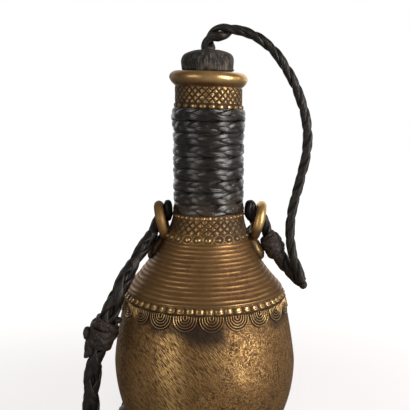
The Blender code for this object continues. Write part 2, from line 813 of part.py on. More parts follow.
def stopper(material, cord):
    """A turned plug with a low crown, bored for its cord, which is knotted under it."""
    foot = lip_foot_height + lip_height - plug_depth
    axis = bpy.data.objects.new("stopper_axis", None)
    axis.location = (neck_offset, 0, foot)
    bpy.context.scene.collection.objects.link(axis)
    top = plug_depth + stopper_rise
    side_top = top - crown_height
    rows = []
    for up, out in stopper_shares:
        rows.append(plain_row(plug_radius * out, plug_depth * up, stopper_columns))
    for up, out in crown_shares:
        rows.append(plain_row(stopper_radius * out, side_top + crown_height * up, stopper_columns))
    for height in (top, 0):
        rows.append(plain_row(cord_radius + seat_gap, height, stopper_columns))
    plug = revolved("stopper", rows, material, bored=True, place=upright_point)
    ends = [Vector((0, 0, -seat_gap)), Vector((0, 0, top))]
    core = tube("stopper_cord_core", resampled(ends, 3 * cord_radius), cord_radius, cord, 2)
    half_rise = knot_radius * knot_flat_share
    middle = (0, 0, -2 * seat_gap - half_rise)
    knot = ball("stopper_end_knot", middle, (knot_radius, knot_radius, half_rise), cord)
    for piece in (plug, core, knot):
        piece.parent = axis


def upright_point(angle, radius, height):
    return Vector((radius * math.sin(angle), -radius * math.cos(angle), height))


def main():
    for old in list(bpy.data.objects):
        bpy.data.objects.remove(old)
    bronze = principled("bronze", (0.42, 0.25, 0.10), 0.38, 1.0)
    strap = principled("strap_leather", (0.022, 0.020, 0.019), 0.55)
    thong = principled("thong_leather", (0.050, 0.040, 0.036), 0.6)
    wood = principled("stopper_wood", (0.055, 0.042, 0.034), 0.7)
    flask_body(bronze)
    neck_binding(strap)
    clearance = clearance_solid(bronze)
    ring_lug("left_ring", -1, left_ring_reach, left_ring_lean, clearance, bronze)
    ring_lug("right_ring", 1, right_ring_reach, right_ring_lean, clearance, bronze)
    ring_knots(strap, thong)
    carrying_strap(strap, thong)
    stopper_tether(strap, thong)
    stopper(wood, strap)


main()
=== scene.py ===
"""A cast bronze flask with a leather-bound neck, a plaited strap and a corded stopper."""
import math
import random

import bpy
import numpy as np
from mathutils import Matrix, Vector, noise


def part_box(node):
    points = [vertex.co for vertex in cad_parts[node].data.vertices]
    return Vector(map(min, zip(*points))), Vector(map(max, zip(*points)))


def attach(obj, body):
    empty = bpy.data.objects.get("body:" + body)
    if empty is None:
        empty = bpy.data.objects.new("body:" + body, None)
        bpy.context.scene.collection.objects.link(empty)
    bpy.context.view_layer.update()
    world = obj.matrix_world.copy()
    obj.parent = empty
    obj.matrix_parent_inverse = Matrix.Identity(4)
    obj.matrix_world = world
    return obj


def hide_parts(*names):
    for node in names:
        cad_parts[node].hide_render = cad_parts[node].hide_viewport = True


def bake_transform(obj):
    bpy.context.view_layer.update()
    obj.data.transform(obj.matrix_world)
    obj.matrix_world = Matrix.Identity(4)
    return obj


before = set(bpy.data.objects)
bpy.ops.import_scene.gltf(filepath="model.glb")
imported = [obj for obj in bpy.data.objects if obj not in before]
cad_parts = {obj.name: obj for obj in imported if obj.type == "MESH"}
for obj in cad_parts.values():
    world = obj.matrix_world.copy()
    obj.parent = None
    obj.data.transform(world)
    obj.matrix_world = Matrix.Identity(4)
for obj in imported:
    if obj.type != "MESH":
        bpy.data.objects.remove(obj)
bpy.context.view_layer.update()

TURN = 2 * math.pi

# ---------------------------------------------------------------------------
# Sizes of the casting, in metres, as the solids have them
# ---------------------------------------------------------------------------
base_radius, base_fillet = 0.024, 0.001
belly_radius, belly_height, belly_power = 0.0464, 0.050, 1.3
edge_radius, edge_height = 0.0404, 0.0856
shoulder_radius, shoulder_height, shoulder_power = 0.0398, 0.0882, 1.6
neck_foot_radius, neck_foot_height = 0.0180, 0.1264
neck_radius, neck_step = 0.0156, 0.0004
band_radius, band_height, lip_foot_height = 0.0167, 0.1780, 0.1884
lip_radius, lip_height, bore_radius = 0.0193, 0.0072, 0.0130
wall, floor_thickness = 0.0028, 0.004
neck_offset, offset_reach = 0.0020, 0.0314
rim_tilt, tilt_reach = math.radians(2.5), 0.0280
foot_band_share = 0.32
foot_band_height = neck_foot_height - (neck_foot_height - edge_height) * foot_band_share
seat_gap = 0.0003
leaf_height = 0.1085

# The ornament: how many there are of each, and where the first one stands, in turns from the front
scallop_count, first_scallop = 21, 4.5 / 360
edge_bead_count, first_edge_bead = 55, 3.2 / 360
foot_bead_count, first_foot_bead = 25, 1.0 / 360
seam_bead_count, first_seam_bead = 38, 0.3 / 360
band_bead_count, first_band_bead = 23, 5 / 360
ridge_count = 14
scallop_reach, scallop_stilt = 0.0059, 0.0012
scallop_line = edge_height - 0.0020
scallop_foot = scallop_line - scallop_reach - scallop_stilt - 0.0008

# ---------------------------------------------------------------------------
# Sizes of the leather
# ---------------------------------------------------------------------------
strap_radius, strap_thin_share = 0.0041, 0.76
strap_turns, coil_outer_radius, coil_gap = 3.5, 0.0450, 0.0005
coil_middle, coil_low = (0.0, 0.1030), 0.0055
cord_radius, ring_cord_lay, stopper_cord_lay = 0.0024, 0.019, 0.022

# ---------------------------------------------------------------------------
# Routes of the cords: those of the solids, with shifts of under 2 mm to meet the photograph
# ---------------------------------------------------------------------------
strap_left_route = (
    (-0.0209, 0.0, 0.1226), (-0.0228, -0.0003, 0.1216), (-0.0250, -0.0018, 0.1180),
    (-0.0276, -0.0045, 0.1133), (-0.0326, -0.0090, 0.1062), (-0.0363, -0.0130, 0.1000),
    (-0.0397, -0.0160, 0.0940), (-0.0429, -0.0178, 0.0868), (-0.0462, -0.0190, 0.0790),
    (-0.0494, -0.0190, 0.0698), (-0.0525, -0.0190, 0.0608), (-0.0549, -0.0184, 0.0515),
    (-0.0564, -0.0168, 0.0405), (-0.0574, -0.0150, 0.0290), (-0.0578, -0.0134, 0.0190),
    (-0.0580, -0.0102, 0.0102), (-0.0576, -0.0034, 0.0052), (-0.0558, 0.0060, 0.0043),
    (-0.0524, 0.0150, 0.0043), (-0.0478, 0.0238, 0.0043), (-0.0450, 0.0330, 0.0043),
    (-0.0443, 0.0430, 0.0043), (-0.0448, 0.0530, 0.0043), (-0.0458, 0.0640, 0.0044),
    (-0.0460, 0.0750, 0.0048), (-0.0453, 0.0860, 0.0054), (-0.0450, 0.0945, 0.0055),
)
strap_return_route = (
    (0.0450, 0.0945, 0.0142), (0.0448, 0.0870, 0.0137), (0.0432, 0.0785, 0.0118),
    (0.0404, 0.0700, 0.0090), (0.0374, 0.0614, 0.0082), (0.0344, 0.0540, 0.0118),
    (0.0320, 0.0488, 0.0196), (0.0306, 0.0452, 0.0310), (0.0300, 0.0431, 0.0440),
    (0.0295, 0.0420, 0.0560), (0.0286, 0.0408, 0.0680), (0.0273, 0.0392, 0.0790),
    (0.0258, 0.0370, 0.0880), (0.0239, 0.0330, 0.0958), (0.0226, 0.0280, 0.1024),
    (0.0229, 0.0232, 0.1076), (0.0246, 0.0186, 0.1118), (0.0262, 0.0150, 0.1146),
)
ring_cord_route = (
    (0.0266, 0.0, 0.1240), (0.0284, 0.0, 0.1236), (0.0300, 0.0, 0.1220), (0.0309, 0.0, 0.1192),
    (0.0318, 0.0001, 0.1156), (0.0331, 0.0002, 0.1122), (0.0352, 0.0004, 0.1084),
    (0.0374, 0.0006, 0.1046), (0.0403, 0.0009, 0.1004), (0.0434, 0.0011, 0.0960),
    (0.0462, 0.0010, 0.0924), (0.0484, 0.0006, 0.0899), (0.0494, 0.0002, 0.0888),
)
stopper_cord_route = (
    (0.0020, 0.0, 0.2065), (0.0016, 0.0, 0.2082), (0.0019, -0.0001, 0.2104), (0.0036, -0.0003, 0.2128),
    (0.0068, -0.0006, 0.2148), (0.0110, -0.0010, 0.2158), (0.0158, -0.0014, 0.2156),
    (0.0206, -0.0018, 0.2144), (0.0274, -0.0020, 0.2110), (0.0343, -0.0022, 0.2050),
    (0.0397, -0.0026, 0.1974), (0.0437, -0.0028, 0.1904), (0.0473, -0.0030, 0.1818),
    (0.0499, -0.0032, 0.1730), (0.0509, -0.0036, 0.1640), (0.0503, -0.0038, 0.1550),
    (0.0485, -0.0039, 0.1466), (0.0463, -0.0040, 0.1376), (0.0441, -0.0041, 0.1286),
    (0.0430, -0.0042, 0.1192), (0.0434, -0.0043, 0.1106), (0.0450, -0.0044, 0.1030),
    (0.0475, -0.0044, 0.0968), (0.0498, -0.0044, 0.0908),
)
wrap_tail_route = (
    (-0.0594, -0.0190, 0.0652), (-0.0601, -0.0193, 0.0622), (-0.0602, -0.0196, 0.0592),
    (-0.0594, -0.0197, 0.0564),
)


# ---------------------------------------------------------------------------
# The camera, at the photograph's place
# ---------------------------------------------------------------------------
def place_camera():
    data = bpy.data.cameras.new("photo_camera")
    data.sensor_width = 36
    data.lens = 61.46
    camera = bpy.data.objects.new("photo_camera", data)
    bpy.context.scene.collection.objects.link(camera)
    camera.location = (0.00025, -0.350, 0.182)
    camera.rotation_euler = (math.radians(90 - 8.53), 0, 0)
    bpy.context.scene.camera = camera


# ---------------------------------------------------------------------------
# Shapes
# ---------------------------------------------------------------------------
def eased(value, start, end):
    """0 up to start and 1 from end on, smooth between them."""
    share = np.clip((np.asarray(value, float) - start) / (end - start), 0, 1)
    return share * share * (3 - 2 * share)


def leaned(points):
    """Points of the casting, moved as the neck stands off the belly's axis and the rim tilts."""
    x, y, z = points.T
    shifted = x + neck_offset * eased(z, neck_foot_height - offset_reach, neck_foot_height + 4 * neck_step)
    dropped = math.tan(rim_tilt) * x * eased(z, band_height - tilt_reach, lip_foot_height - 6 * neck_step)
    return np.stack([shifted, y, z - dropped], 1)


def belly_line(height):
    """The belly's radius at a height: an ellipse up to its widest place, then a curve in to the edge."""
    height = np.asarray(height, float)
    depth = belly_height / math.sqrt(1 - (base_radius / belly_radius) ** 2)
    below = belly_radius * np.sqrt(1 - ((belly_height - np.minimum(height, belly_height)) / depth) ** 2)
    share = np.clip((height - belly_height) / (edge_height - belly_height), 0, 1)
    return np.where(height < belly_height, below, belly_radius - (belly_radius - edge_radius) * share**belly_power)


def shoulder_line(height):
    """The shoulder's radius at a height, hollowed towards the foot of the neck."""
    share = np.clip((np.asarray(height, float) - shoulder_height) / (neck_foot_height - shoulder_height), 0, 1)
    return neck_foot_radius + (shoulder_radius - neck_foot_radius) * (1 - share) ** shoulder_power


def outline(height):
    """The casting's plain radius at a height, from the base to the foot of the neck."""
    height = np.asarray(height, float)
    return np.where(height < edge_height, belly_line(height), np.minimum(edge_radius, shoulder_line(height)))


def soft_noise(angle, height, size, seed, reach=0.03):
    """Slow noise that closes on itself round the casting; size is its grain in metres."""
    x, y, z = reach * np.sin(angle) / size, reach * np.cos(angle) / size, height / size
    return np.array([noise.noise((a, b, c + seed)) for a, b, c in zip(x, y, z)])


def noise_along(values, rate, lane, seed):
    """Noise along a line; lane keeps one thong's noise apart from the next one's."""
    return np.array([noise.noise((value * rate, lane, seed)) for value in values])


def even_row(height, columns):
    """Even angles from the front on, and one height for them all."""
    angles = np.arange(columns) * TURN / columns
    return angles, np.full(columns, float(height))


def centred_row(columns):
    """Angles at the middles of even columns."""
    return (np.arange(columns) + 0.5) * TURN / columns


def stitched(row, start, next_row, next_start):
    """Triangles between two rows of angles round one axis, each with its own count."""
    faces = []
    count, next_count = len(row), len(next_row)
    i = j = 0
    while i < count or j < next_count:
        angle = row[(i + 1) % count] + TURN * ((i + 1) // count)
        next_angle = next_row[(j + 1) % next_count] + TURN * ((j + 1) // next_count)
        here, other = start + i % count, next_start + j % next_count
        if j >= next_count or (i < count and angle <= next_angle):
            faces.append((here, start + (i + 1) % count, other))
            i += 1
        else:
            faces.append((here, next_start + (j + 1) % next_count, other))
            j += 1
    return faces


def tube_faces(rows, columns, start=0, closed=False):
    """Quads between rows of points that each go once round. An open tube gets a cap at each end."""
    faces = []
    for k in range(rows if closed else rows - 1):
        here, after = start + k * columns, start + (k + 1) % rows * columns
        for j in range(columns):
            beside = (j + 1) % columns
            faces.append((here + j, here + beside, after + beside, after + j))
    if not closed:
        top = start + (rows - 1) * columns
        faces += [tuple(range(start + columns - 1, start - 1, -1)), tuple(range(top, top + columns))]
    return faces


def ball_directions(rows, columns):
    """The ways from the middle of a ball to its rows of points, from the foot up. Its two tips stay open."""
    ways = []
    for k in range(1, rows):
        rise = math.pi * k / rows
        for j in range(columns):
            spin = TURN * j / columns
            ways.append((math.sin(rise) * math.sin(spin), -math.sin(rise) * math.cos(spin), -math.cos(rise)))
    return ways


def new_piece(name, points, faces, material, relief):
    """A smooth piece. relief is 0 in its hollows and 1 on what stands proud, for the finishes."""
    mesh = bpy.data.meshes.new(name)
    mesh.from_pydata([tuple(point) for point in points], [], faces)
    mesh.materials.append(material)
    mesh.shade_smooth()
    mesh.attributes.new("relief", "FLOAT", "POINT").data.foreach_set("value", np.asarray(relief, np.float32))
    mesh.validate()
    piece = bpy.data.objects.new(name, mesh)
    bpy.context.scene.collection.objects.link(piece)
    return piece


def row_of(angles, radii, heights, relief=0.5):
    """One row of points round the casting: the angle, radius, height and relief of each."""
    relief = np.full(len(angles), relief) if np.isscalar(relief) else relief
    return np.stack([angles, radii, heights, relief], 1)


# ---------------------------------------------------------------------------
# The casting
# ---------------------------------------------------------------------------
def belly_rows():
    """The base and the belly, a little uneven, as hand work is."""
    columns, levels, dent_depth, dent_size = 144, 36, 0.00022, 0.022
    top = scallop_foot - 0.0004
    rows = []
    for height, radius in (
        (0.0, base_radius - base_fillet), (base_fillet * 0.35, base_radius - base_fillet * 0.3),
        (base_fillet, float(belly_line(base_fillet))),
    ):
        angles, level = even_row(height, columns)
        rows.append(row_of(angles, np.full(columns, radius), level))
    for height in base_fillet + (top - base_fillet) * (np.arange(1, levels + 1) / levels) ** 0.92:
        angles, level = even_row(height, columns)
        above_foot = float(eased(height, 0.004, 0.02))
        uneven = dent_depth * above_foot * soft_noise(angles, level, dent_size, 3.0)
        rows.append(row_of(angles, belly_line(level) + uneven, level))
    return rows


def scallop_rows():
    """Scallops that hang from the edge, each of five nested ridges round a stilted half circle.

    The first few rows bend from the belly's even row to the outermost scallop line."""
    nested, ridge_height, groove_depth = 5, 0.00058, 0.00016
    side_steps, arc_steps, bending_rows, nested_rows = 4, 24, 5, 34
    steps = arc_steps + 2 * side_steps
    columns = steps + 1
    from_end = np.minimum(np.arange(columns), steps - np.arange(columns))
    bends = math.pi * np.clip((np.arange(columns) - side_steps) / arc_steps, 0, 1)
    straight = np.clip(from_end / side_steps, 0, 1)
    inside = eased(from_end, 0, 1)
    even = np.arange(scallop_count * columns) / (scallop_count * columns) + (first_scallop - 0.5 / scallop_count)
    before_front = int(np.sum(even < 0))
    rows = []
    for k in range(bending_rows + nested_rows):
        inward = max(k - bending_rows, 0)
        share = inward / (nested_rows - 1)
        reach = scallop_reach * (1 - share * 0.96)
        line = scallop_line + 0.000014 * inward
        ring = share * nested
        turns, heights, relief, lifts = [], [], [], []
        for s in range(scallop_count):
            size = 1 + 0.035 * noise.noise((s * 3.1, 0.0, 5.0))
            turns.append(first_scallop + s / scallop_count - reach * np.cos(bends) / (TURN * edge_radius))
            heights.append(line - (reach * np.sin(bends) + scallop_stilt * straight) * size)
            wear = 1 + 0.25 * noise.noise((s * 1.7, math.floor(ring) * 2.3, 1.0))
            crest = (0.5 - 0.5 * math.cos(TURN * min(ring, nested))) ** 0.8 * wear
            relief.append(np.clip(0.82 * crest, 0, 1) * inside + 0.10 * (1 - inside))
            lifts.append(crest * inside * (1.2 if ring < 1 else 1.0))
        turns, heights = np.concatenate(turns), np.concatenate(heights)
        relief, lifts = np.concatenate(relief), np.concatenate(lifts)
        radii = belly_line(heights) + ridge_height * lifts - groove_depth * (1 - lifts)
        if k < bending_rows:
            near = eased(k / bending_rows, 0, 1)
            turns = even + (turns - even) * near
            heights = scallop_foot + (heights - scallop_foot) * near
            radii = belly_line(heights) - groove_depth * near**3
            relief = 0.42 - 0.38 * near**2 + 0 * relief
        row = row_of(TURN * turns, radii, heights, relief)
        row[:before_front, 0] += TURN
        rows.append(np.roll(row, -before_front, axis=0))
    return rows


def pillow(across, up, power):
    """1 in the middle of a squarish bead and 0 from its edge on."""
    return np.clip(1 - np.abs(across) ** power - np.abs(up) ** power, 0, 1)


def dome(away, radius):
    """1 in the middle of a round bead and 0 from its edge on."""
    return np.clip(1 - (away / radius) ** 2.4, 0, 1) ** 0.5


def nearest_bead(turn, first, count):
    """Which of a row of beads is nearest at each turn, and how far from its middle, in shares of the spacing."""
    which = np.round((turn - first) * count)
    return which.astype(int) % count, (turn - first) * count - which


def edge_bead_rows(foot, rise):
    """The row of raised beads along the edge, in a sunk channel."""
    columns, levels, bead_lift, channel_depth = edge_bead_count * 11, 13, 0.00105, 0.00022
    half_across, half_up = 0.41, 0.45
    angles = centred_row(columns)
    which, across = nearest_bead(angles / TURN, first_edge_bead, edge_bead_count)
    draw = np.random.default_rng(7)
    lift = draw.uniform(0.78, 1.08, edge_bead_count)[which]
    size = draw.uniform(0.88, 1.1, edge_bead_count)[which]
    sway = draw.uniform(-0.09, 0.09, edge_bead_count)[which]
    rows = []
    for level in range(levels):
        share = level / (levels - 1)
        up = (share - 0.5 + sway * 0.5) / half_up
        raised = pillow(across / half_across / size, up / size, 2.6) ** 0.5 * lift
        heights = np.full(columns, foot + rise * share)
        sunk = channel_depth * min(min(share, 1 - share) / 0.12, 1)
        plain = np.minimum(outline(heights), edge_radius + 0.0002)
        seam = 0.24 * (1 - pillow(across / 0.5, 0 * up, 6))
        relief = np.clip(np.maximum(raised, 0.26 - seam), 0.02, 1)
        rows.append(row_of(angles, plain - sunk + bead_lift * raised, heights, relief))
    return rows


def shoulder_rows():
    """The beads on the edge and the ridges above them, which sway and are worn low in places."""
    half_edge, ridge_depth, sway_height = 0.0015, 0.00040, 0.00030
    rows = edge_bead_rows(edge_height - half_edge, 2 * half_edge)
    foot, levels, columns = edge_height + half_edge, 7, 190
    angles, _ = even_row(0, columns)
    for k in range(1, ridge_count * levels):
        ridge, place = k // levels, (k % levels) / levels
        sway = sway_height * soft_noise(angles, np.full(columns, ridge * 0.05), 0.012, 11.0)
        heights = foot + (foot_band_height - foot) * k / (ridge_count * levels) + sway
        crest = (0.5 - 0.5 * math.cos(TURN * place)) ** 1.3
        left = 0.74 + 0.75 * soft_noise(angles, np.full(columns, ridge * 0.31), 0.0065, 23.0)
        raised = crest * np.clip(left, 0.25, 1.1)
        radii = shoulder_line(heights) - ridge_depth * (1 - raised)
        rows.append(row_of(angles, radii, heights, np.clip(0.25 + 0.55 * crest * raised, 0, 1)))
    return rows


def lozenge_relief(turn, height, around, pitch, groove, seed):
    """Flat-topped lozenges between crossing grooves. Returns 0 in a groove and 1 on a top."""
    sway = 0.10 * np.array([noise.noise((a * 40, b * 900, seed)) for a, b in zip(turn, height)])
    u = turn * around + sway
    v = height / pitch + sway * 0.6
    one, other = u + v, u - v
    gap = np.minimum(np.abs(one - np.round(one)), np.abs(other - np.round(other)))
    return eased(gap, groove * 0.45, groove * 1.25), np.round(one), np.round(other)


def side_wear_and_shade(angles):
    """How much of the cut work is left: most at the front and back, least where hands hold the neck. The lower relief
    at the sides also paints them darker, as painted shade.
    """
    return 0.30 + 0.70 * np.cos(angles - 0.20) ** 2


def neck_foot_rows():
    """Round beads in ring seats, worn lozenges above them and small beads under the binding."""
    columns, levels, slope, sunk = 420, 42, 1.25, 0.0004
    bead_radius, bead_middle, bead_lift = 0.00150, 0.00265, 0.00105
    seat_radius, seat_width, seat_lift = 0.00245, 0.00042, 0.0005
    groove_radius, groove_width = 0.0019, 0.0004
    seam_radius, seam_middle, seam_lift = 0.00095, 0.0149, 0.0006
    lozenge_count, lozenge_pitch, lozenge_lift = 30, 0.0043, 0.00055
    angles = centred_row(columns)
    turn = angles / TURN
    draw = np.random.default_rng(31)
    bead_size = draw.uniform(0.85, 1.12, foot_bead_count)
    seam_size = draw.uniform(0.75, 1.1, seam_bead_count)
    which_bead, from_bead = nearest_bead(turn, first_foot_bead, foot_bead_count)
    which_seam, from_seam = nearest_bead(turn, first_seam_bead, seam_bead_count)
    rows = []
    for k in range(levels):
        share = k / (levels - 1)
        heights = np.full(columns, foot_band_height + (neck_foot_height - 0.0001 - foot_band_height) * share)
        plain = shoulder_line(heights) - sunk
        up = (heights - foot_band_height) * slope
        away = np.hypot(from_bead * TURN * plain / foot_bead_count, up - bead_middle)
        bead = dome(away, bead_radius * bead_size[which_bead])
        seat = np.exp(-((away - seat_radius) / seat_width) ** 2)
        groove = np.exp(-((away - groove_radius) / groove_width) ** 2)
        lozenge, one, other = lozenge_relief(turn, up, lozenge_count, lozenge_pitch, groove=0.15, seed=4.0)
        worn = np.array([0.45 + 0.75 * abs(noise.noise((a * 5.3, b * 3.7, 9.0))) for a, b in zip(one, other)])
        zone = eased(up, 0.0050, 0.0058) * (1 - eased(up, 0.0133, 0.0139))
        lozenge = lozenge * np.clip(worn * 1.4, 0.25, 1.0) * side_wear_and_shade(angles)
        away = np.hypot(from_seam * TURN * plain / seam_bead_count / 1.25, up - seam_middle)
        seam = dome(away, seam_radius * seam_size[which_seam])
        raised = np.maximum.reduce([
            bead * bead_lift, seat * seat_lift, lozenge * zone * lozenge_lift, seam * seam_lift,
        ])
        relief = np.maximum.reduce([bead, seat * 0.5, lozenge * zone * 0.66, seam, 0.26 - 0.16 * zone + 0 * bead])
        relief = relief - 0.13 * groove
        fade = float(eased(share, 0, 0.04))
        rows.append(row_of(angles, plain + raised * fade, heights, np.clip(relief, 0, 1)))
    return rows


def bare_neck_rows():
    """The plain neck, hidden by the binding."""
    columns, rows = 100, []
    for height, radius in (
        (neck_foot_height, neck_foot_radius), (neck_foot_height + neck_step, neck_radius),
        ((neck_foot_height + band_height) / 2, neck_radius), (band_height - neck_step, neck_radius),
    ):
        angles, level = even_row(height, columns)
        rows.append(row_of(angles, np.full(columns, radius), level, 0.0))
    return rows


def band_rows():
    """The band under the lip: pillow beads, then crossing grooves that leave flat lozenges."""
    columns, levels, sunk = 400, 39, 0.0002
    bead_middle, bead_half_height, bead_half_share, bead_lift = 0.0009, 0.0011, 0.34, 0.00085
    lozenge_count, lozenge_foot, lozenge_pitch, lozenge_lift = 32, 0.0030, 0.0034, 0.00060
    angles = centred_row(columns)
    turn = angles / TURN
    draw = np.random.default_rng(57)
    which, across = nearest_bead(turn, first_band_bead, band_bead_count)
    size = draw.uniform(0.86, 1.1, band_bead_count)[which]
    lift = draw.uniform(0.75, 1.1, band_bead_count)[which]
    rows = [row_of(angles, np.full(columns, band_radius - 0.0003), np.full(columns, band_height - 0.0001), 0.1)]
    for k in range(levels):
        up = (lip_foot_height - 0.0004 - band_height) * (k / (levels - 1))
        heights = np.full(columns, band_height + up)
        from_beads, from_lozenges = np.full(columns, up - bead_middle), np.full(columns, up - lozenge_foot)
        bead = pillow(across / bead_half_share / size, from_beads / bead_half_height, 2.3) ** 0.5 * lift
        lozenge, one, other = lozenge_relief(turn, from_lozenges, lozenge_count, lozenge_pitch, groove=0.17, seed=2.0)
        worn = np.array([0.75 + 0.6 * noise.noise((a * 5.3, b * 3.7, 1.0)) for a, b in zip(one, other)])
        zone = eased(up, 0.0022, 0.0026) * (1 - eased(up, 0.0099, 0.0101))
        lozenge = lozenge * np.clip(worn, 0.5, 1.0) * side_wear_and_shade(angles)
        raised = np.maximum(bead * bead_lift, lozenge * zone * lozenge_lift)
        # Painted shade: the band's beads read less proud, so darker, towards the sides
        relief = np.maximum(bead * (0.4 + 0.6 * side_wear_and_shade(angles)), lozenge * zone)
        rows.append(row_of(angles, band_radius - sunk + raised, heights, np.clip(relief, 0, 1)))
    return rows


def curve_through(points, steps):
    """A Catmull-Rom curve through points of any dimension, with this many steps a span."""
    p = np.asarray(points, float)
    p = np.concatenate([[2 * p[0] - p[1]], p, [2 * p[-1] - p[-2]]])
    out = []
    for k in range(1, len(p) - 2):
        for j in range(steps):
            t = j / steps
            a, b, c, d = p[k - 1], p[k], p[k + 1], p[k + 2]
            square, cube = 2 * a - 5 * b + 4 * c - d, 3 * b - a - 3 * c + d
            out.append(0.5 * (2 * b + (c - a) * t + square * t**2 + cube * t**3))
    out.append(p[-2])
    return np.array(out)


def lip_rows():
    """The rolled lip, from the band over into the bore."""
    columns, dent_depth, dent_size = 130, 0.00016, 0.008
    outer_shares = [(0.0, -0.1), (0.22, 0.55), (0.50, 1.0), (0.72, 0.94), (0.90, 0.5), (1.0, -0.15)]
    inner_shares = [(0.99, 0.28), (0.94, 0.08), (0.86, 0.0)]
    profile = [
        (start + width * out, lip_foot_height + lip_height * up)
        for start, width, shares in (
            (band_radius, lip_radius - band_radius, outer_shares),
            (bore_radius, band_radius - bore_radius, inner_shares),
        )
        for up, out in shares
    ]
    rows = []
    for k, (radius, height) in enumerate(curve_through(profile, 5)):
        angles, level = even_row(height, columns)
        uneven = dent_depth * soft_noise(angles, level, dent_size, 41.0)
        relief = 0.52 + 0.16 * math.sin(math.pi * min(k / 24, 1))
        rows.append(row_of(angles, radius + uneven, level, relief))
    return rows


def cavity_rows():
    """The bore and the hollow, from the lip down to the floor."""
    columns, rows = 48, []
    top = neck_foot_height - wall
    heights = [band_height, neck_foot_height, top]
    heights += [top - (top - edge_height) * share for share in (0.2, 0.4, 0.6, 0.8)]
    heights += [belly_height + (edge_height - wall - belly_height) * share for share in (0.9, 0.6, 0.3, 0.0)]
    heights += [floor_thickness + (belly_height - floor_thickness) * share for share in (0.75, 0.5, 0.28, 0.1, 0.0)]
    for height in heights:
        angles, level = even_row(height, columns)
        slope = (outline(height + wall / 4) - outline(height - wall / 4)) / (wall / 2)
        radius = max(float(outline(height) - wall * math.sqrt(1 + float(slope) ** 2)), bore_radius)
        if height >= neck_foot_height:
            radius = bore_radius
        if height == floor_thickness:
            radius = float(belly_line(height)) - 2 * wall
        rows.append(row_of(angles, np.full(columns, radius), level, 0.0))
    return rows


def make_casting(material):
    """The whole casting: its rows, joined from the base up to the lip and down inside to the floor."""
    rows = belly_rows() + scallop_rows() + shoulder_rows() + neck_foot_rows()
    rows += bare_neck_rows() + band_rows() + lip_rows() + cavity_rows()
    starts = np.concatenate([[0], np.cumsum([len(row) for row in rows])])
    faces = []
    for k in range(len(rows) - 1):
        start, next_start, count = int(starts[k]), int(starts[k + 1]), len(rows[k])
        if count == len(rows[k + 1]):
            for j in range(count):
                n = (j + 1) % count
                faces.append((start + j, start + n, next_start + n, next_start + j))
        else:
            faces.extend(stitched(rows[k][:, 0], start, rows[k + 1][:, 0], next_start))
    table = np.concatenate(rows)
    angle, radius, height, relief = table.T
    points = leaned(np.stack([radius * np.sin(angle), -radius * np.cos(angle), height], 1))
    foot, top = len(points), len(points) + 1
    points = np.concatenate([points, [[0, 0, 0], [0, 0, floor_thickness]]])
    relief = np.concatenate([relief, [0.5, 0.0]])
    count = len(rows[0])
    faces.extend((foot, (k + 1) % count, k) for k in range(count))
    count, start = len(rows[-1]), int(starts[-2])
    faces.extend((start + k, start + (k + 1) % count, top) for k in range(count))
    return new_piece("cast_flask", points, faces, material, relief)


def leant(spot, angle):
    """A spot turned about the line from front to back."""
    c, s = math.cos(angle), math.sin(angle)
    return Vector((spot.x * c + spot.z * s, spot.y, -spot.x * s + spot.z * c))


def make_ring(name, node, side, middle, lean, leaf_slope, material):
    """A round ring with a leaf at its foot, worn smooth, its leaf cut with veins."""
    ring_radius, wire_radius, steps, wire_steps = 0.0080, 0.0024, 72, 20
    half_thick, half_wide, half_high, columns, levels = 0.0033, 0.0058, 0.0078, 48, 40
    points, relief = [], []
    for k in range(steps):
        around = TURN * k / steps
        wire = wire_radius * (1 + 0.05 * noise.noise((math.sin(around) * 2, math.cos(around) * 2, side * 4.0)))
        for j in range(wire_steps):
            bend = TURN * j / wire_steps
            reach = ring_radius + wire * math.cos(bend)
            spot = Vector((wire * math.sin(bend), reach * math.sin(around), reach * math.cos(around)))
            points.append(Vector(middle) + leant(spot, lean))
            relief.append(0.36 + 0.14 * math.cos(bend))
    faces = tube_faces(steps, wire_steps, closed=True) + tube_faces(levels - 1, columns, start=len(points))
    place = leaned(np.array([[side * (float(outline(leaf_height)) + seat_gap), 0, leaf_height]]))[0]
    for way in ball_directions(levels, columns):
        way = Vector(way)
        vein = 0.5 + 0.5 * math.cos(TURN * math.hypot(way.y, way.z * 0.8 + 0.35) * 4.2)
        outer = min(max(way.x * side, 0) + 0.8 * max(-way.y, 0), 1) ** 0.5
        grow = 1 + 0.10 * (vein - 0.6) * outer
        spot = Vector((way.x * half_thick * grow, way.y * half_wide, way.z * half_high))
        points.append(Vector(place) + leant(spot, -side * leaf_slope))
        relief.append(0.15 + 0.8 * vein * outer)
    piece = new_piece(name, points, faces, material, relief)
    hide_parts(node)
    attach(piece, "flask")
    return piece


# ---------------------------------------------------------------------------
# Leather
# ---------------------------------------------------------------------------
def even_path(points, spacing):
    """The same line with points at an even spacing."""
    points = np.asarray(points, float)
    lengths = np.concatenate([[0], np.cumsum(np.linalg.norm(np.diff(points, axis=0), axis=1))])
    count = max(2, round(lengths[-1] / spacing) + 1)
    along = np.linspace(0, lengths[-1], count)
    return np.stack([np.interp(along, lengths, points[:, k]) for k in range(3)], 1), along


def path_frames(points, first=(0, 1, 0)):
    """The way a line runs and two directions square to it, carried along without twist."""
    tangents = np.gradient(points, axis=0)
    tangents /= np.linalg.norm(tangents, axis=1)[:, None]
    side = np.cross(tangents[0], np.array(first, float))
    side /= np.linalg.norm(side)
    sides = [side]
    for k in range(1, len(points)):
        side = sides[-1] - tangents[k] * np.dot(sides[-1], tangents[k])
        sides.append(side / np.linalg.norm(side))
    sides = np.array(sides)
    return tangents, sides, np.cross(tangents, sides)


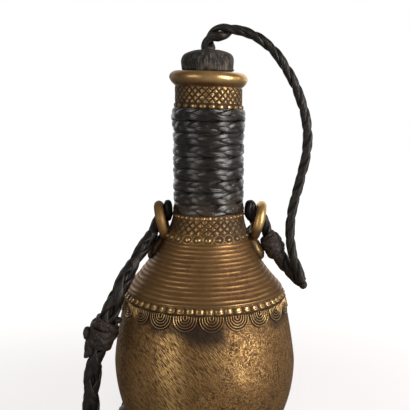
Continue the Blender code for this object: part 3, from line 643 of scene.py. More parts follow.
class Strands:
    """Thongs gathered into one mesh. Each reads the leather's grain in a lane of its own."""

    lane_width = 0.037

    def __init__(self):
        self.points, self.faces, self.relief, self.fibre = [], [], [], []
        self.count = self.laid = 0

    def add(self, line, outward, half_width, half_depth, sides, relief, closed=False, square=0.8):
        """One thong along a line. outward is the way its flat face looks, and a lower square makes it squarer."""
        line = np.asarray(line, float)
        tangents = np.gradient(line, axis=0)
        tangents /= np.linalg.norm(tangents, axis=1)[:, None]
        outward = np.asarray(outward, float)
        outward = outward - tangents * np.sum(outward * tangents, axis=1)[:, None]
        outward /= np.linalg.norm(outward, axis=1)[:, None]
        across = np.cross(tangents, outward)
        half_width, half_depth, relief = (
            np.broadcast_to(np.asarray(value, float), (len(line),)) for value in (half_width, half_depth, relief)
        )
        run = np.concatenate([[0], np.cumsum(np.linalg.norm(np.diff(line, axis=0), axis=1))])
        lane = np.full(len(line), self.lane_width * self.laid)
        points, shades, fibres = [], [], []
        for j in range(sides):
            bend = TURN * (j + 0.5) / sides
            c, s = math.cos(bend), math.sin(bend)
            shades.append(relief * (0.5 + 0.5 * s))
            fibres.append(np.stack([run, half_width * c, lane], 1))
            c = math.copysign(abs(c) ** square, c)
            s = math.copysign(abs(s) ** square, s)
            points.append(line + across * (half_width * c)[:, None] + outward * (half_depth * s)[:, None])
        self.points.append(np.stack(points, 1).reshape(-1, 3))
        self.relief.append(np.stack(shades, 1).reshape(-1))
        self.fibre.append(np.stack(fibres, 1).reshape(-1, 3))
        self.faces += tube_faces(len(line), sides, self.count, closed)
        self.count += len(line) * sides
        self.laid += 1

    def piece(self, name, material):
        """The thongs as one piece, which also says where on its thong each point lies."""
        made =new_piece(name, np.concatenate(self.points), self.faces, material, np.concatenate(self.relief))
        laid = made.data.attributes.new("fibre", "FLOAT_VECTOR", "POINT")
        laid.data.foreach_set("vector", np.concatenate(self.fibre).astype(np.float32).reshape(-1))
        return made

    def add_core(self, middle, half):
        """A plain lump that fills the inside of a knot."""
        share, columns, rows = 0.98, 16, 10
        core = np.array([
            [m + h * u * share for m, h, u in zip(middle, half, way)] for way in ball_directions(rows, columns)
        ])
        self.points.append(core)
        self.relief.append(np.zeros(len(core)))
        self.fibre.append(core)
        self.faces += tube_faces(rows - 1, columns, self.count)
        self.count += len(core)


def braid(strands, points, along, radius, count, lay, half_width, half_depth, rise, seed):
    """A round plait: half the thongs wind one way and half the other, over and under in turn."""
    _, side, front = path_frames(points)
    half = count // 2
    for k in range(count):
        way = 1 if k < half else -1
        start = TURN * (k % half) / half
        angle = way * (TURN * along / lay) + start + 0.22 * noise_along(along, 90, k * 3.3, seed)
        wave = way * np.cos(TURN * along / lay * half)
        reach = radius - half_depth - rise + rise * wave
        out = side * np.cos(angle)[:, None] + front * np.sin(angle)[:, None]
        size = 1 + 0.10 * noise_along(along, 160, k * 7.7, seed + 5)
        shade = 0.55 + 0.45 * wave
        strands.add(points + out * reach[:, None], out, half_width * size, half_depth, 10, shade, square=0.66)


def twist(strands, points, along, radius, turns, seed, spread=0.0, swells=(1.0, 1.0)):
    """Two flat thongs laid round one another, as a cord is. turns says how far round they are at each point."""
    _, side, front = path_frames(points)
    for k, swell in enumerate(swells):
        sway = 0.35 * noise_along(along, 70, k * 3.3, seed) * np.minimum(along / 0.012, 1)
        angle = TURN * turns + TURN * k / len(swells) + sway
        out = side * np.cos(angle)[:, None] + front * np.sin(angle)[:, None]
        size = 1 + 0.10 * noise_along(along, 120, k * 7.7, seed + 5)
        deep = radius * 0.55 * swell
        line = points + out * (radius * 0.45 + (deep - radius * 0.55) + spread + 0 * along)[:, None]
        strands.add(line, out, radius * 0.80 * size * swell, deep * size, 14, 0.8, square=0.85)


def strap_path():
    """The whole strap: down the left, round the coil and back up to the right ring."""
    left = curve_through(strap_left_route, 6)
    pitch = 2 * strap_radius + coil_gap
    steps = round(strap_turns * 40)
    loops = []
    for k in range(steps + 1):
        turned = strap_turns * k / steps
        inward = strap_turns / 2 - abs(turned - strap_turns / 2)
        radius = coil_outer_radius - pitch * inward
        climb = float(eased(turned, strap_turns / 2 - 0.25, strap_turns / 2 + 0.25))
        loops.append((
            coil_middle[0] - radius * math.cos(TURN * turned),
            coil_middle[1] + radius * math.sin(TURN * turned),
            coil_low + pitch * climb,
        ))
    back = curve_through(strap_return_route, 6)
    return np.concatenate([left, loops, back])


def make_strap(material):
    """Four thongs plaited round a plain core, thinner towards the ring and pressed flat on the ground."""
    thin_height, core_radius, lowest = 0.1085, 0.0022, 0.00005
    points, along = even_path(strap_path(), 0.0011)
    swell = 1 - (1 - strap_thin_share) * eased(points[:, 2], edge_height - wall, thin_height)
    strands = Strands()
    braid(
        strands, points, along, strap_radius * swell + 0.0003, count=4, lay=0.036,
        half_width=0.0027 * swell, half_depth=0.0013 * swell, rise=0.0005, seed=2.0,
    )
    strands.add(points, path_frames(points)[1], core_radius * swell, core_radius * swell, 6, 0.0)
    for laid in strands.points:
        laid[:, 2] = np.maximum(laid[:, 2], lowest)
    piece = strands.piece("plaited_strap", material)
    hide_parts("strap_left_run", "strap_coil", "strap_return_run")
    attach(piece, "flask")
    return piece


def make_ring_cord(material):
    """The cord that hangs from the right ring, thickest between its barrel and the fold."""
    points, along = even_path(curve_through(ring_cord_route, 10), 0.0006)
    sunk = -points[:, 2]
    thick = eased(sunk, -0.1085, -0.1030) * (1 - eased(sunk, -0.0970, -0.0910))
    strands = Strands()
    swells = (1.12 + 0.42 * thick, 1.12 + 0.3 * thick)
    twist(strands, points, along, cord_radius, along / ring_cord_lay, seed=8.0, swells=swells)
    piece = strands.piece("ring_cord_lay", material)
    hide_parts("ring_cord")
    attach(piece, "flask")
    return piece


def make_stopper_cord(material):
    """The cord from the stopper down to the fold. Near the wood its two thongs part and cross once."""
    points, along = even_path(curve_through(stopper_cord_route, 10), 0.0007)
    parted, loose_middle, crossed, far = 0.0055, 0.0115, 0.0175, 0.5
    loose_reach, start_reach = 0.0045, 0.0042
    far_turns = 0.75 + (far - crossed) / stopper_cord_lay
    turns = np.interp(along, (0.0, parted, crossed, far), (0.0, 0.25, 0.75, far_turns))
    loose = np.exp(-(((along - loose_middle) / loose_reach) ** 2))
    start = np.exp(-((along / start_reach) ** 2))
    apart = 0.0006 * loose + 0.0009 * start
    swells = (1 + 0.55 * loose + 0.1 * start, 1 + 0.15 * loose + 0.1 * start)
    strands = Strands()
    twist(strands, points, along, cord_radius, turns, seed=4.0, spread=apart, swells=swells)
    piece = strands.piece("stopper_cord_lay", material)
    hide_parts("stopper_cord")
    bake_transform(piece)
    return piece


def make_binding(material):
    """A flat plait, wound round the neck in nine level courses that step up at the back.

    It has three strands, each one flat thong that bulges a little."""
    foot, top = neck_foot_height - 0.0003, band_height - 0.0002
    courses, steps, count, crossings = 9, 170, 3, 2.71
    half_width, half_depth, bulge_middle, bulge_reach = 0.0016, 0.00100, top - 0.0048, 0.0028
    pitch = (top - foot) / courses
    radius = neck_radius + 0.0013
    turn = np.arange(courses * steps + 1) / steps - 0.5
    x, y = np.sin(TURN * turn), -np.cos(TURN * turn)
    course = np.round(turn)
    climb = eased(turn - course, 0.36, 0.5) * 0.5 - eased(course - turn, 0.36, 0.5) * 0.5
    drift, slip = noise_along(turn, 2.3, 0.0, 17.0), noise_along(turn, 1.3, 0.0, 29.0)
    middle = foot + pitch * (np.clip(course + climb, 0, courses - 1) + 0.5) + 0.00035 * drift
    strands = Strands()
    for k in range(count):
        sway, loose = noise_along(turn, 5.1, k * 3.1, 7.0), noise_along(turn, 6.0, k * 3.1, 3.0)
        phase = TURN * (turn * crossings + k / count + 0.05 * sway + 0.5 * slip)
        lift = np.sin(2 * phase)
        rise = (pitch / 2 - 0.84 * half_width) * np.sin(phase) * (1 + 0.25 * sway)
        bulge = 0.0008 * np.exp(-(((middle + rise - bulge_middle) / bulge_reach) ** 2)) + 0.00025 * drift
        reach = radius - 0.0003 + 0.00036 * lift + 0.00016 * loose + bulge
        line = leaned(np.stack([reach * x, reach * y, middle + rise], 1))
        outward = np.stack([x, y, 0.25 * loose], 1)
        shade = 0.55 + 0.45 * lift
        strands.add(line, outward, half_width * (1.08 + 0.3 * loose), half_depth, 14, shade, square=0.95)
    reach = radius - 0.0004
    under = leaned(np.stack([reach * x, reach * y, middle], 1))[::5]
    strands.add(under, np.stack([x, y, 0 * x], 1)[::5], pitch / 2 + 0.0003, 0.0006, 8, 0.0, square=0.4)
    piece = strands.piece("plaited_binding", material)
    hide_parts("neck_binding")
    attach(piece, "flask")
    return piece


def cord_place(route, height):
    """The middle of a cord at a height, the way it runs there and two directions square to that."""
    fine, _ = even_path(curve_through(route, 20), 0.0002)
    k = int(np.argmin(np.abs(fine[1:-1, 2] - height))) + 1
    axis = Vector(fine[k + 1] - fine[k - 1]).normalized()
    side = axis.cross(Vector((0, 1, 0))).normalized()
    return Vector(fine[k]), axis, side, axis.cross(side)


def make_wrapping(name, node, route, height, length, core, thong, turns, material, seed, bulge, shift=(0, 0, 0)):
    """A flat thong wound closely round a cord, its turns half over one another, with more laid across them."""
    middle, axis, side, front = cord_place(route, height)
    middle = middle + Vector(shift)
    turn_steps, crossing_count, crossing_steps = 44, 4, 35
    strands = Strands()
    draw = random.Random(seed)
    for k in range(turns):
        along = length * ((k + 0.5) / turns - 0.5)
        tilt, highest = draw.uniform(-0.6, 0.6) * thong * 2.2, draw.uniform(0, TURN)
        swell = (1 + bulge * (1 - (2 * along / length) ** 2)) * draw.uniform(0.97, 1.04)
        line, out = [], []
        for j in range(turn_steps):
            spin = TURN * j / turn_steps
            way = side * math.cos(spin) + front * math.sin(spin)
            lump = 1 + 0.13 * noise.noise((math.cos(spin) * 1.6, math.sin(spin) * 1.6, k * 0.9 + seed))
            climb = along + tilt * math.cos(spin - highest)
            line.append(middle + axis * climb + way * (core + thong * 0.6) * swell * lump)
            out.append(way)
        strands.add(line, out, thong * 1.45, thong * 0.78, 12, 0.8, closed=True)
    for k in range(crossing_count):
        start = draw.uniform(0, TURN)
        line, out = [], []
        for j in range(crossing_steps + 1):
            share = j / crossing_steps
            spin = start + TURN * 0.6 * share
            way = side * math.cos(spin) + front * math.sin(spin)
            along = length * (share - 0.5) * 0.84 * (1 if k % 2 else -1)
            swell = 1 + bulge * (1 - (2 * along / length) ** 2)
            dip = 0.5 * math.sin(math.pi * min(share, 1 - share) * 2) ** 0.4 if 0 < share < 1 else 0
            lump = 1 + 0.08 * noise.noise((spin * 1.1, k * 3.7, seed))
            line.append(middle + axis * along + way * (core + thong * (0.7 + dip)) * swell * lump)
            out.append(way)
        strands.add(line, out, thong * 1.3, thong * 0.75, 12, 1.0)
    piece = strands.piece(name, material)
    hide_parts(node)
    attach(piece, "flask")
    return piece


def make_knot(name, node, material, thong, turns, seed, grow=1.0, body="flask", shift=(0, 0, 0)):
    """A tight knot: one thong drawn round and round a lump, each turn crossing the last."""
    low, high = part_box(node)
    middle, half = (low + high) / 2 + Vector(shift), (high - low) / 2 * grow
    half = Vector([max(size - thong * 0.8, thong * 0.6) for size in half])
    steps = 34
    line, out = [], []
    draw = random.Random(seed)
    lean, drift = draw.uniform(0, TURN), draw.uniform(0.9, 1.3)
    for j in range(turns * steps + 1):
        spin = TURN * j / steps
        way = Vector((math.cos(spin), math.sin(spin), 0))
        tip = lean + drift * spin / TURN * 1.9
        way.rotate(Vector((math.cos(tip), math.sin(tip), 0)).to_track_quat("Z", "Y"))
        lump = 1 + 0.10 * noise.noise((way.x * 2, way.y * 2, way.z * 2 + seed))
        line.append(middle + Vector([a * b * lump for a, b in zip(way, half)]))
        out.append(way)
    strands = Strands()
    strands.add(line, out, thong * 1.15, thong * 0.85, 10, 0.8)
    strands.add_core(middle, half)
    piece = strands.piece(name, material)
    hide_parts(node)
    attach(piece, body)
    return piece


def make_tail(material):
    """The wrapping's loose end. It stands about 4 mm from its solid, where the photograph has it."""
    points, along = even_path(curve_through(wrap_tail_route, 10), 0.0004)
    curl = eased(along, along[-1] * 0.6, along[-1])
    points = points + np.stack([0.0036 - 0.0022 * curl, -0.0024 + 0 * curl, 0.0008 + 0 * curl], 1)
    out = np.tile([-0.5, -1.0, 0.0], (len(points), 1))
    strands = Strands()
    strands.add(points, out, 0.0025 * (1 - 0.55 * curl), 0.0012 * (1 - 0.35 * curl), 14, 0.7)
    piece = strands.piece("wrap_tail_thong", material)
    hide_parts("wrap_tail")
    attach(piece, "flask")
    return piece


def make_coil_tie(material):
    """A flat thong wound twice round the bundle of turns at the back of the coil."""
    low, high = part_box("coil_tie")
    middle, half = (low + high) / 2, (high - low) / 2
    steps, inset, apart, square = 96, 0.0005, 0.00105, 0.42
    strands = Strands()
    for k in (-1, 1):
        line, out = [], []
        for j in range(steps):
            spin = TURN * j / steps
            c, s = math.cos(spin), math.sin(spin)
            way = Vector((0, math.copysign(abs(c) ** square, c), math.copysign(abs(s) ** square, s)))
            reach = Vector((0, (half.y - inset) * way.y, (half.z - inset) * way.z))
            shift = 0.00012 * noise.noise((c * 2, s * 2, k * 5.0))
            line.append(middle + Vector((k * apart + shift, 0, 0)) + reach)
            out.append(Vector((0, c, s)))
        strands.add(line, out, 0.0010, 0.00048, 10, 0.7, closed=True)
    piece = strands.piece("coil_tie_thong", material)
    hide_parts("coil_tie")
    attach(piece, "flask")
    return piece


# ---------------------------------------------------------------------------
# The stopper
# ---------------------------------------------------------------------------
def make_stopper(material):
    """Turned wood, worn uneven, with a low crown and a bore where the cord comes out."""
    columns, plug_radius, crown_radius, crown_height = 96, 0.0116, 0.0127, 0.0100
    low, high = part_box("stopper")
    foot, top = low.z, high.z
    side_top = top - crown_height
    crown = ((0.2, 1.0), (0.5, 1.0), (0.70, 0.95), (0.83, 0.85), (0.92, 0.68), (0.98, 0.52), (1.0, 0.38))
    profile = [(0.0030, foot), (0.0100, foot), (0.0109, foot + 0.0006), (plug_radius, foot + 0.0020)]
    profile += [(plug_radius, side_top - 0.0012), (0.0118, side_top - 0.0004), (0.0126, side_top)]
    profile += [(crown_radius * out, side_top + crown_height * up) for up, out in crown]
    profile += [(0.0034, top - 0.0001), (0.0028, top - 0.0012), (0.0027, foot + 0.0004)]
    rows = curve_through(profile, 6)
    points, relief = [], []
    for radius, height in rows:
        outside = float(eased(height, side_top, side_top + 0.001)) * float(eased(radius, 0.003, 0.006))
        for j in range(columns):
            spin = TURN * j / columns
            lump = 0.00038 * noise.noise((math.sin(spin) * 1.3, math.cos(spin) * 1.3, height * 160))
            flute = 0.00010 * noise.noise((math.sin(spin) * 9, math.cos(spin) * 9, height * 60))
            reach = radius + outside * (lump + flute + 0.0001)
            middle = neck_offset - 0.0006 * outside
            points.append((middle + reach * math.sin(spin), -reach * math.cos(spin), height))
            relief.append(0.5 + 1200 * (lump + flute))
    faces = tube_faces(len(rows), columns, closed=True)
    piece = new_piece("turned_stopper", points, faces, material, np.clip(relief, 0, 1))
    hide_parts("stopper")
    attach(piece, "stopper")
    return piece


def make_stopper_core(material):
    """The cord inside the stopper, which the stopper's cord goes on from."""
    low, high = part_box("stopper_cord_core")
    points, along = even_path([(neck_offset, 0, low.z), (neck_offset, 0, high.z)], 0.0007)
    turns = (along - along[-1]) / stopper_cord_lay
    strands = Strands()
    twist(strands, points, 0 * along, cord_radius, turns, seed=4.0, spread=0.00035)
    piece = strands.piece("stopper_core_lay", material)
    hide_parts("stopper_cord_core")
    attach(piece, "stopper")
    return piece


# ---------------------------------------------------------------------------
# Finishes
# ---------------------------------------------------------------------------
class Value:
    """A socket of a finish, with arithmetic that adds Math nodes."""

    def __init__(self, finish, socket):
        self.finish, self.socket = finish, socket

    def maths(self, operation, first, second=0.0, clamp=False):
        """What one Math node makes of two values."""
        return self.finish.node(
            "ShaderNodeMath", {"operation": operation, "use_clamp": clamp}, {0: first, 1: second},
        )

    def __add__(self, other):
        return self.maths("ADD", self, other)

    __radd__ = __add__

    def __sub__(self, other):
        return self.maths("SUBTRACT", self, other)

    def __rsub__(self, other):
        return self.maths("SUBTRACT", other, self)

    def __mul__(self, other):
        return self.maths("MULTIPLY", self, other)

    __rmul__ = __mul__

    def wave(self):
        """The cosine of an angle."""
        return self.maths("COSINE", self)

    def clamped(self):
        """The same, kept between 0 and 1."""
        return self.maths("ADD", self, 0.0, clamp=True)

    def between(self, low, high):
        """0 below low and 1 above high, smooth between them."""
        return self.finish.node(
            "ShaderNodeMapRange", {"interpolation_type": "SMOOTHSTEP"},
            {"Value": self, "From Min": low, "From Max": high},
        )

    def within(self, low, high, soft):
        """1 from low to high and 0 outside, smooth over a soft edge inside each."""
        return self.between(low, low + soft) * (1 - self.between(high - soft, high))

    def near(self, middle, whole, none):
        """1 up to a distance of whole from the middle and 0 from a distance of none on."""
        return 1 - self.maths("ABSOLUTE", self - middle).between(whole, none)


class Finish:
    """The nodes of a material or of the world, built one by one."""

    def __init__(self, owner):
        owner.use_nodes = True
        self.owner, self.tree = owner, owner.node_tree
        self.tree.nodes.clear()

    def node(self, kind, settings=None, values=None, output=0):
        """A node of a kind. Its settings are set first, then the values or links of its sockets."""
        made = self.tree.nodes.new(kind)
        for key, setting in (settings or {}).items():
            setattr(made, key, setting)
        for key, value in (values or {}).items():
            if isinstance(value, Value):
                self.tree.links.new(value.socket, made.inputs[key])
            else:
                made.inputs[key].default_value = value
        return Value(self, made.outputs[output]) if len(made.outputs) else None

    def place(self):
        """The place in the shared frame, in metres."""
        return self.node("ShaderNodeTexCoord", output="Object")

    def axis(self, place, letter):
        """How far a place lies along X, Y or Z."""
        return self.node("ShaderNodeSeparateXYZ", {}, {"Vector": place}, output=letter)

    def ray(self, kind):
        """1 for rays of one kind and 0 for the others."""
        return self.node("ShaderNodeLightPath", output=f"Is {kind} Ray")

    def seen(self, mirrored):
        """1 for what the camera looks at, and for what is mirrored or seen through where mirrored is 1."""
        return (self.ray("Camera") + (self.ray("Glossy") + self.ray("Transmission")) * mirrored).clamped()

    def relief(self):
        """0 in the hollows of a piece and 1 on what stands proud."""
        return self.node("ShaderNodeAttribute", {"attribute_name": "relief"}, output="Fac")

    def fibre(self):
        """The place on a thong: along it, across it, and which thong it is."""
        return self.node("ShaderNodeAttribute", {"attribute_name": "fibre"}, output="Vector")

    def stretched(self, place, scale):
        return self.node("ShaderNodeMapping", {}, {"Vector": place, "Scale": scale})

    def turned(self, place, angles):
        return self.node("ShaderNodeMapping", {}, {"Vector": place, "Rotation": angles})

    def grain(self, place, scale, detail, roughness, distortion=0.0):
        """Noise round 0.5. A higher scale is a finer grain."""
        return self.node("ShaderNodeTexNoise", {}, {
            "Vector": place, "Scale": scale, "Detail": detail, "Roughness": roughness, "Distortion": distortion,
        })

    def mixed(self, first, second, share):
        """Two colours, mixed by a share."""
        values = {0: share}
        for key, color in ((6, first), (7, second)):
            values[key] = color if isinstance(color, Value) else (*color, 1)
        return self.node("ShaderNodeMix", {"data_type": "RGBA"}, values, output=2)

    def bumped(self, height, depth, strength=1.0):
        return self.node("ShaderNodeBump", {}, {"Height": height, "Distance": depth, "Strength": strength})

    def done(self, values):
        """The material, with the values or links of its one surface shader."""
        shader = self.node("ShaderNodeBsdfPrincipled", {}, values)
        self.node("ShaderNodeOutputMaterial", {}, {"Surface": shader})
        return self.owner


def worn_bronze():
    """Cast bronze: brown patina in the hollows, rubbed bright on what stands proud, with painted highlights and
    painted shade laid into its colour.
    """
    ridges_end, foot_start, soot_low, soot_high = 0.1140, 0.1130, 0.0722, 0.0795
    # Spacing and place of the painted highlight bands on the belly
    painted_glint_rate, painted_glint_middle = 206.0, 0.0150
    f = Finish(bpy.data.materials.new("worn_bronze"))
    place, relief = f.place(), f.relief()
    across, height = f.axis(place, "X"), f.axis(place, "Z")
    clouds = f.grain(place, 55, 4, 0.6)
    blotches = f.grain(place, 210, 4, 0.65)
    specks = f.grain(place, 1300, 3, 0.65)
    proud = relief.between(0.35, 0.9)
    hollow = 1 - relief.between(0.05, 0.45)

    # Where the parts of the casting are
    below = 1 - height.between(edge_height - 0.003, edge_height - 0.001)
    plain = relief.between(0.22, 0.41) * (1 - relief.between(0.50, 0.51)) * below
    ridges = height.within(edge_height + 0.002, ridges_end, 0.003)
    foot = height.within(foot_start, neck_foot_height, 0.002)
    # The right of the neck foot, which gets painted shade
    shaded_foot_right = foot * across.between(0.000, 0.012)
    # The far left above the shoulder, the left ring with it, which gets painted shade and more roughness
    left_ring = height.between(0.1110, 0.1140) * (1 - across.between(-0.0180, -0.0150))
    # The upper part of the right ring, where the painted highlight goes
    right_ring = across.between(0.0185, 0.0225) * height.between(0.1165, 0.1225)
    upper = height.between(band_height - 0.002, band_height)
    band = upper * (1 - height.between(lip_foot_height - 0.001, lip_foot_height))
    # The underside of the lip, painted darker as painted shade
    lip_foot = height.between(lip_foot_height - 0.0006, lip_foot_height)
    lip_foot = lip_foot * (1 - height.between(lip_foot_height + 0.0008, lip_foot_height + 0.0040))
    lip = height.between(lip_foot_height + 0.0010, lip_foot_height + 0.0042)

    # The belly's fine marks: slanting scratches on its left and crackle on its right
    right = (f.grain(place, 38, 1, 0.5) + across * 10).between(0.42, 0.62)
    slanted = f.stretched(f.turned(place, (0, math.radians(42), 0)), (2700, 500, 330))
    scratches = f.grain(slanted, 1.0, 1, 0.5, 0.4).between(0.42, 0.58)
    crackle = f.grain(place, 760, 1, 0.5, 0.8).near(0.5, 0.01, 0.09)
    marks = scratches * (1 - right) + crackle * right

    # How far the patina is rubbed off, with painted highlight and painted shade mixed into the same share
    tarnish = (clouds * 0.9 + blotches * 0.6 + specks * 0.35).between(0.70, 1.10)
    grime = (specks * 1.0 + blotches * 1.1 - 1.05) * ridges
    # Painted highlight and shade: bright and dark upright bands across the plain belly near the middle, strongest on
    # its left
    painted_glints = ((across - painted_glint_middle) * painted_glint_rate).wave() * across.near(0.0, 0.022, 0.030) * plain
    painted_glints = painted_glints * (0.24 - right * 0.30)
    middle_scallops = height.between(scallop_foot - 0.001, scallop_foot + 0.001) * below
    middle_scallops = middle_scallops * across.near(0.0, 0.006, 0.018) * proud
    rubbed_and_painted_light = 0.82 - plain * 0.14 - tarnish * 0.62 + proud * 0.5 + (marks - 0.5) * plain * 1.7 + painted_glints
    # Painted shade: darker on the left of the band and lip, and on the right of the neck foot
    rubbed_and_painted_light = rubbed_and_painted_light - (0.0 - across).between(0.001, 0.018) * upper * 0.55 + foot * 0.30 - shaded_foot_right * 1.05
    # Painted shade and light by side: the band darker from its middle to the right and a little lighter on its left,
    # and the far left above the shoulder darker
    rubbed_and_painted_light = rubbed_and_painted_light + band * (0.10 - across.between(-0.012, -0.002) * 0.24) - left_ring * 0.22
    # Painted shade: the shoulder ridges just right of the middle made darker
    rubbed_and_painted_light = rubbed_and_painted_light + grime * 1.1 - across.near(0.012, 0.003, 0.011) * ridges * 0.20
    # Painted shade under the lip's rim; the proud scallop ridges at the front middle are also made darker
    rubbed_and_painted_light = (rubbed_and_painted_light - middle_scallops * 0.55 - lip_foot * 0.6).clamped()

    # Its colours, from the ground up to what is polished by use, with painted shade and painted highlight laid over
    # them
    gold = f.mixed((0.46, 0.275, 0.105), (0.70, 0.48, 0.23), proud)
    # Painted highlight: brighter gold on the painted glint bands
    gold = f.mixed(gold, (0.90, 0.585, 0.24), (painted_glints * 3.6).clamped())
    brown = f.mixed((0.108, 0.053, 0.021), (0.25, 0.125, 0.044), blotches.between(0.35, 0.65))
    color = f.mixed(brown, gold, rubbed_and_painted_light)
    color = f.mixed(color, (0.47, 0.220, 0.076), ridges * specks.between(0.38, 0.62) * 0.55)
    # Painted shade: the right of the neck foot dulled towards grey brown
    color = f.mixed(color, (0.21, 0.145, 0.080), shaded_foot_right * 0.5)
    color = f.mixed(color, (0.024, 0.014, 0.008), hollow * 0.88)
    patch = across.near(0.002, 0.003, 0.016)
    soot = (height + patch * 0.0042 + blotches * 0.0030).between(soot_low, soot_high)
    soot = soot * below * (1 - relief.between(0.52, 0.65))
    soot = soot * (f.grain(place, 62, 2, 0.5) + patch * 0.10).between(0.34, 0.56)
    color = f.mixed(color, (0.030, 0.021, 0.019), soot * 0.86)
    # Painted shade round the leaves at the ring feet: dark brown round the left one, a duller gold round the right
    # one
    for leaf_place, tone, share in (
        ((-0.0235, 0, leaf_height), (0.030, 0.020, 0.012), 0.75),
        ((0.0262, 0, leaf_height), (0.150, 0.112, 0.055), 0.70),
    ):
        away = f.node("ShaderNodeVectorMath", {"operation": "DISTANCE"}, {0: place, 1: leaf_place}, output="Value")
        color = f.mixed(color, tone, (1 - away.between(0.0060, 0.0125)) * share)
    # Painted highlight: bright gold on the lip, growing towards its right, and on the top of the right ring
    painted_lip_ring_highlight = lip * across.between(-0.012, 0.012) * 1.15 + right_ring * 0.85
    color = f.mixed(color, (1.0, 0.64, 0.265), (painted_lip_ring_highlight * (blotches * 0.8 + 0.5)).clamped())

    dull = left_ring * 0.30 + ridges * 0.08 + plain * 0.14
    roughness = (0.34 - rubbed_and_painted_light * 0.10 + specks * 0.10 + hollow * 0.25 + dull).clamped()
    metal = (0.70 + rubbed_and_painted_light * 0.30 - hollow * 0.4).clamped()
    pitted = specks * (ridges * 1.1 + 0.5)
    normal = f.bumped(pitted + marks * plain * 0.7 + blotches * 0.6, 0.00007)
    return f.done({"Base Color": color, "Roughness": roughness, "Metallic": metal, "Normal": normal})


def plaited_leather(name, rough, gloss, crest, worn_foot=None):
    """Black leather, half polished by use. worn_foot is the height below which it is rubbed brown."""
    f = Finish(bpy.data.materials.new(name))
    place, relief = f.place(), f.relief()
    dust = f.grain(place, 120, 4, 0.6)
    pores = f.grain(place, 2400, 2, 0.6)
    creases = f.grain(f.stretched(f.fibre(), (140, 1900, 900)), 1.0, 2, 0.6)
    color = f.mixed((0.0050, 0.0036, 0.0027), (0.015, 0.0112, 0.0085), dust.between(0.35, 0.7))
    color = f.mixed(color, (0.058, 0.046, 0.036), relief.between(0.2, 0.9) * creases.between(0.52, 0.66) * crest)
    if worn_foot:
        low = 1 - f.axis(place, "Z").between(worn_foot - 0.003, worn_foot + 0.008)
        color = f.mixed(color, (0.085, 0.056, 0.036), low * dust.between(0.36, 0.56) * 0.6)
    roughness = (rough + dust * 0.14 + pores * 0.05).clamped()
    normal = f.bumped(pores * 0.2 + creases * 0.8, 0.00036)
    return f.done({"Base Color": color, "Roughness": roughness, "Normal": normal, "Specular IOR Level": gloss})


def thong_leather():
    """Dark brown thong, dry and creased."""
    f = Finish(bpy.data.materials.new("thong_leather"))
    place = f.place()
    dust = f.grain(place, 160, 4, 0.6)
    creases = f.grain(f.stretched(f.fibre(), (400, 1900, 900)), 1.0, 3, 0.6)
    color = f.mixed((0.012, 0.0078, 0.0060), (0.042, 0.026, 0.019), dust.between(0.35, 0.7))
    wrinkles_and_sheen = f.grain(place, 560, 3, 0.6, 0.8)
    # Lighter brown on the raised wrinkles: partly mottling, partly painted highlight
    color = f.mixed(color, (0.110, 0.075, 0.060), wrinkles_and_sheen.between(0.52, 0.70) * 0.6)
    roughness = (0.36 + creases * 0.25).clamped()
    normal = f.bumped(creases * 0.2 + wrinkles_and_sheen, 0.0009)
    return f.done({"Base Color": color, "Roughness": roughness, "Normal": normal})


def stopper_wood():
    """Dark, dry turned wood with faint upright streaks."""
    f = Finish(bpy.data.materials.new("stopper_wood"))
    place = f.place()
    streaks = f.grain(f.stretched(place, (900, 900, 110)), 1.0, 3, 0.6)
    pits = f.grain(place, 1000, 3, 0.6)
    # Mottled brown, and painted light: the wood grows lighter towards its right
    mottle_and_side_light = (f.grain(place, 330, 4, 0.62) + f.axis(place, "X") * 6).between(0.42, 0.64)
    color = f.mixed((0.011, 0.0095, 0.008), (0.078, 0.060, 0.044), mottle_and_side_light)
    color = f.mixed(color, (0.20, 0.18, 0.16), streaks.between(0.54, 0.68) * 0.7)
    roughness = (0.55 + pits * 0.25).clamped()
    normal = f.bumped(pits * 0.6 + streaks * 0.6, 0.0008, 0.8)
    return f.done({"Base Color": color, "Roughness": roughness, "Normal": normal})


# ---------------------------------------------------------------------------
# The studio
# ---------------------------------------------------------------------------
def pale_floor():
    """The pale ground, which is mirrored in the bronze only where it lies far behind."""
    f = Finish(bpy.data.materials.new("pale_floor"))
    reach = f.node("ShaderNodeVectorMath", {"operation": "LENGTH"}, {0: f.place()}, output="Value")
    pale = f.mixed((0.76, 0.74, 0.745), (0.93, 0.93, 0.93), reach.between(0.10, 0.36))
    white = f.mixed((0, 0, 0), pale, f.seen(f.axis(f.place(), "Y").between(0.40, 1.20)))
    return f.done({
        "Base Color": (0.36, 0.35, 0.34, 1), "Roughness": 0.8, "Emission Color": white, "Emission Strength": 1.0,
    })


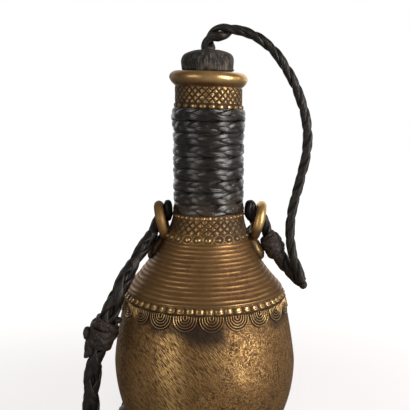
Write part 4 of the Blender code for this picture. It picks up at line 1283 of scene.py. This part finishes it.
def build_studio():
    """The ground, a grey room with a white screen behind, and three soft lamps."""
    mesh = bpy.data.meshes.new("floor")
    mesh.from_pydata([(-2, -2, 0), (2, -2, 0), (2, 2, 0), (-2, 2, 0)], [], [(0, 1, 2, 3)])
    mesh.materials.append(pale_floor())
    floor = bpy.data.objects.new("floor", mesh)
    bpy.context.scene.collection.objects.link(floor)

    world = bpy.data.worlds.new("studio")
    bpy.context.scene.world = world
    f = Finish(world)
    toward = f.node("ShaderNodeTexCoord", output="Generated")
    shade = f.mixed((0.26, 0.253, 0.248), (0.130, 0.121, 0.111), f.ray("Glossy"))
    room = f.node("ShaderNodeBackground", {}, {"Color": shade, "Strength": 1.0})
    screen = f.node("ShaderNodeBackground", {}, {"Color": (1, 1, 1, 1), "Strength": 1.0})
    white = f.seen(f.axis(toward, "Y").between(0.42, 0.90))
    shown = f.node("ShaderNodeMixShader", {}, {0: white, 1: room, 2: screen})
    f.node("ShaderNodeOutputWorld", {}, {"Surface": shown})

    distance = 0.80
    for name, azimuth, height, size, power in (
        ("right_softbox", 53, 0.30, (0.31, 0.75), 5.4),
        ("left_softbox", -46, 0.30, (0.26, 0.70), 1.3),
        ("right_fill", 100, 0.22, (0.40, 0.80), 0.6),
    ):
        lamp = bpy.data.lights.new(name, "AREA")
        lamp.shape = "RECTANGLE"
        lamp.size, lamp.size_y = size
        lamp.energy = power
        lamp.color = (1.0, 0.965, 0.92)
        light = bpy.data.objects.new(name, lamp)
        bpy.context.scene.collection.objects.link(light)
        turn = math.radians(azimuth)
        light.location = (distance * math.sin(turn), -distance * math.cos(turn), height)
        aim = Vector((0, 0, 0.12)) - light.location
        light.rotation_euler = aim.to_track_quat("-Z", "Y").to_euler()


place_camera()
bpy.context.scene.view_settings.view_transform = "Standard"

bronze = worn_bronze()
plait = plaited_leather("plaited_leather", rough=0.29, gloss=0.5, crest=0.7)
neck_plait = plaited_leather("neck_leather", rough=0.09, gloss=1.0, crest=0.35, worn_foot=neck_foot_height + 0.004)
brown = thong_leather()
wood = stopper_wood()

wrap = make_wrapping(
    "wrap_turns", "strap_wrap_knot", strap_left_route, height=0.0690, length=0.0132, core=strap_radius,
    thong=0.0012, turns=7, material=brown, seed=3, bulge=0.17,
)
knob = make_knot(
    "wrap_knob_knot", "wrap_knob", brown, thong=0.0012, turns=5, seed=5, grow=1.10,
    shift=(0.0022, -0.0006, 0),
)
nub = make_knot(
    "wrap_nub_knot", "wrap_nub", brown, thong=0.0010, turns=4, seed=6,
    shift=(-0.0009, 0, -0.0008),
)
tail = make_tail(brown)
tie = make_coil_tie(brown)
end_lashing = make_knot(
    "end_lashing_turns", "strap_end_lashing", brown, thong=0.0013, turns=9, seed=8,
)
make_strap(plait)

barrel = make_wrapping(
    "barrel_turns", "barrel_knot", ring_cord_route, height=0.1084, length=0.0110, core=cord_radius,
    thong=0.0011, turns=7, material=brown, seed=4, bulge=0.42, shift=(-0.0008, 0, 0.0005),
)
fold = make_knot(
    "fold_eye", "fold_knob", brown, thong=0.0009, turns=6, seed=9, grow=0.85,
    shift=(-0.0005, 0, 0.0011),
)
make_ring_cord(plait)
make_stopper_cord(plait)

make_knot("left_ring_tie", "left_ring_knot", plait, thong=0.0012, turns=9, seed=12, grow=1.12)
make_knot("right_ring_tie", "right_ring_knot", plait, thong=0.0013, turns=9, seed=13, grow=1.12)
make_knot(
    "stopper_under_knot", "stopper_end_knot", plait, thong=0.0011, turns=7, seed=14, body="stopper",
)

casting = make_casting(bronze)
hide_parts("flask_body")
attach(casting, "flask")
for name, node, side, middle, lean in (
    ("left_ring_lug", "left_ring", -1, (-0.0214, 0, 0.1215), math.radians(-12.9)),
    ("right_ring_lug", "right_ring", 1, (0.0270, 0, 0.1215), math.radians(14.2)),
):
    make_ring(name, node, side, middle, lean, leaf_slope=math.radians(33), material=bronze)
make_binding(neck_plait)
make_stopper(wood)
make_stopper_core(plait)

build_studio()
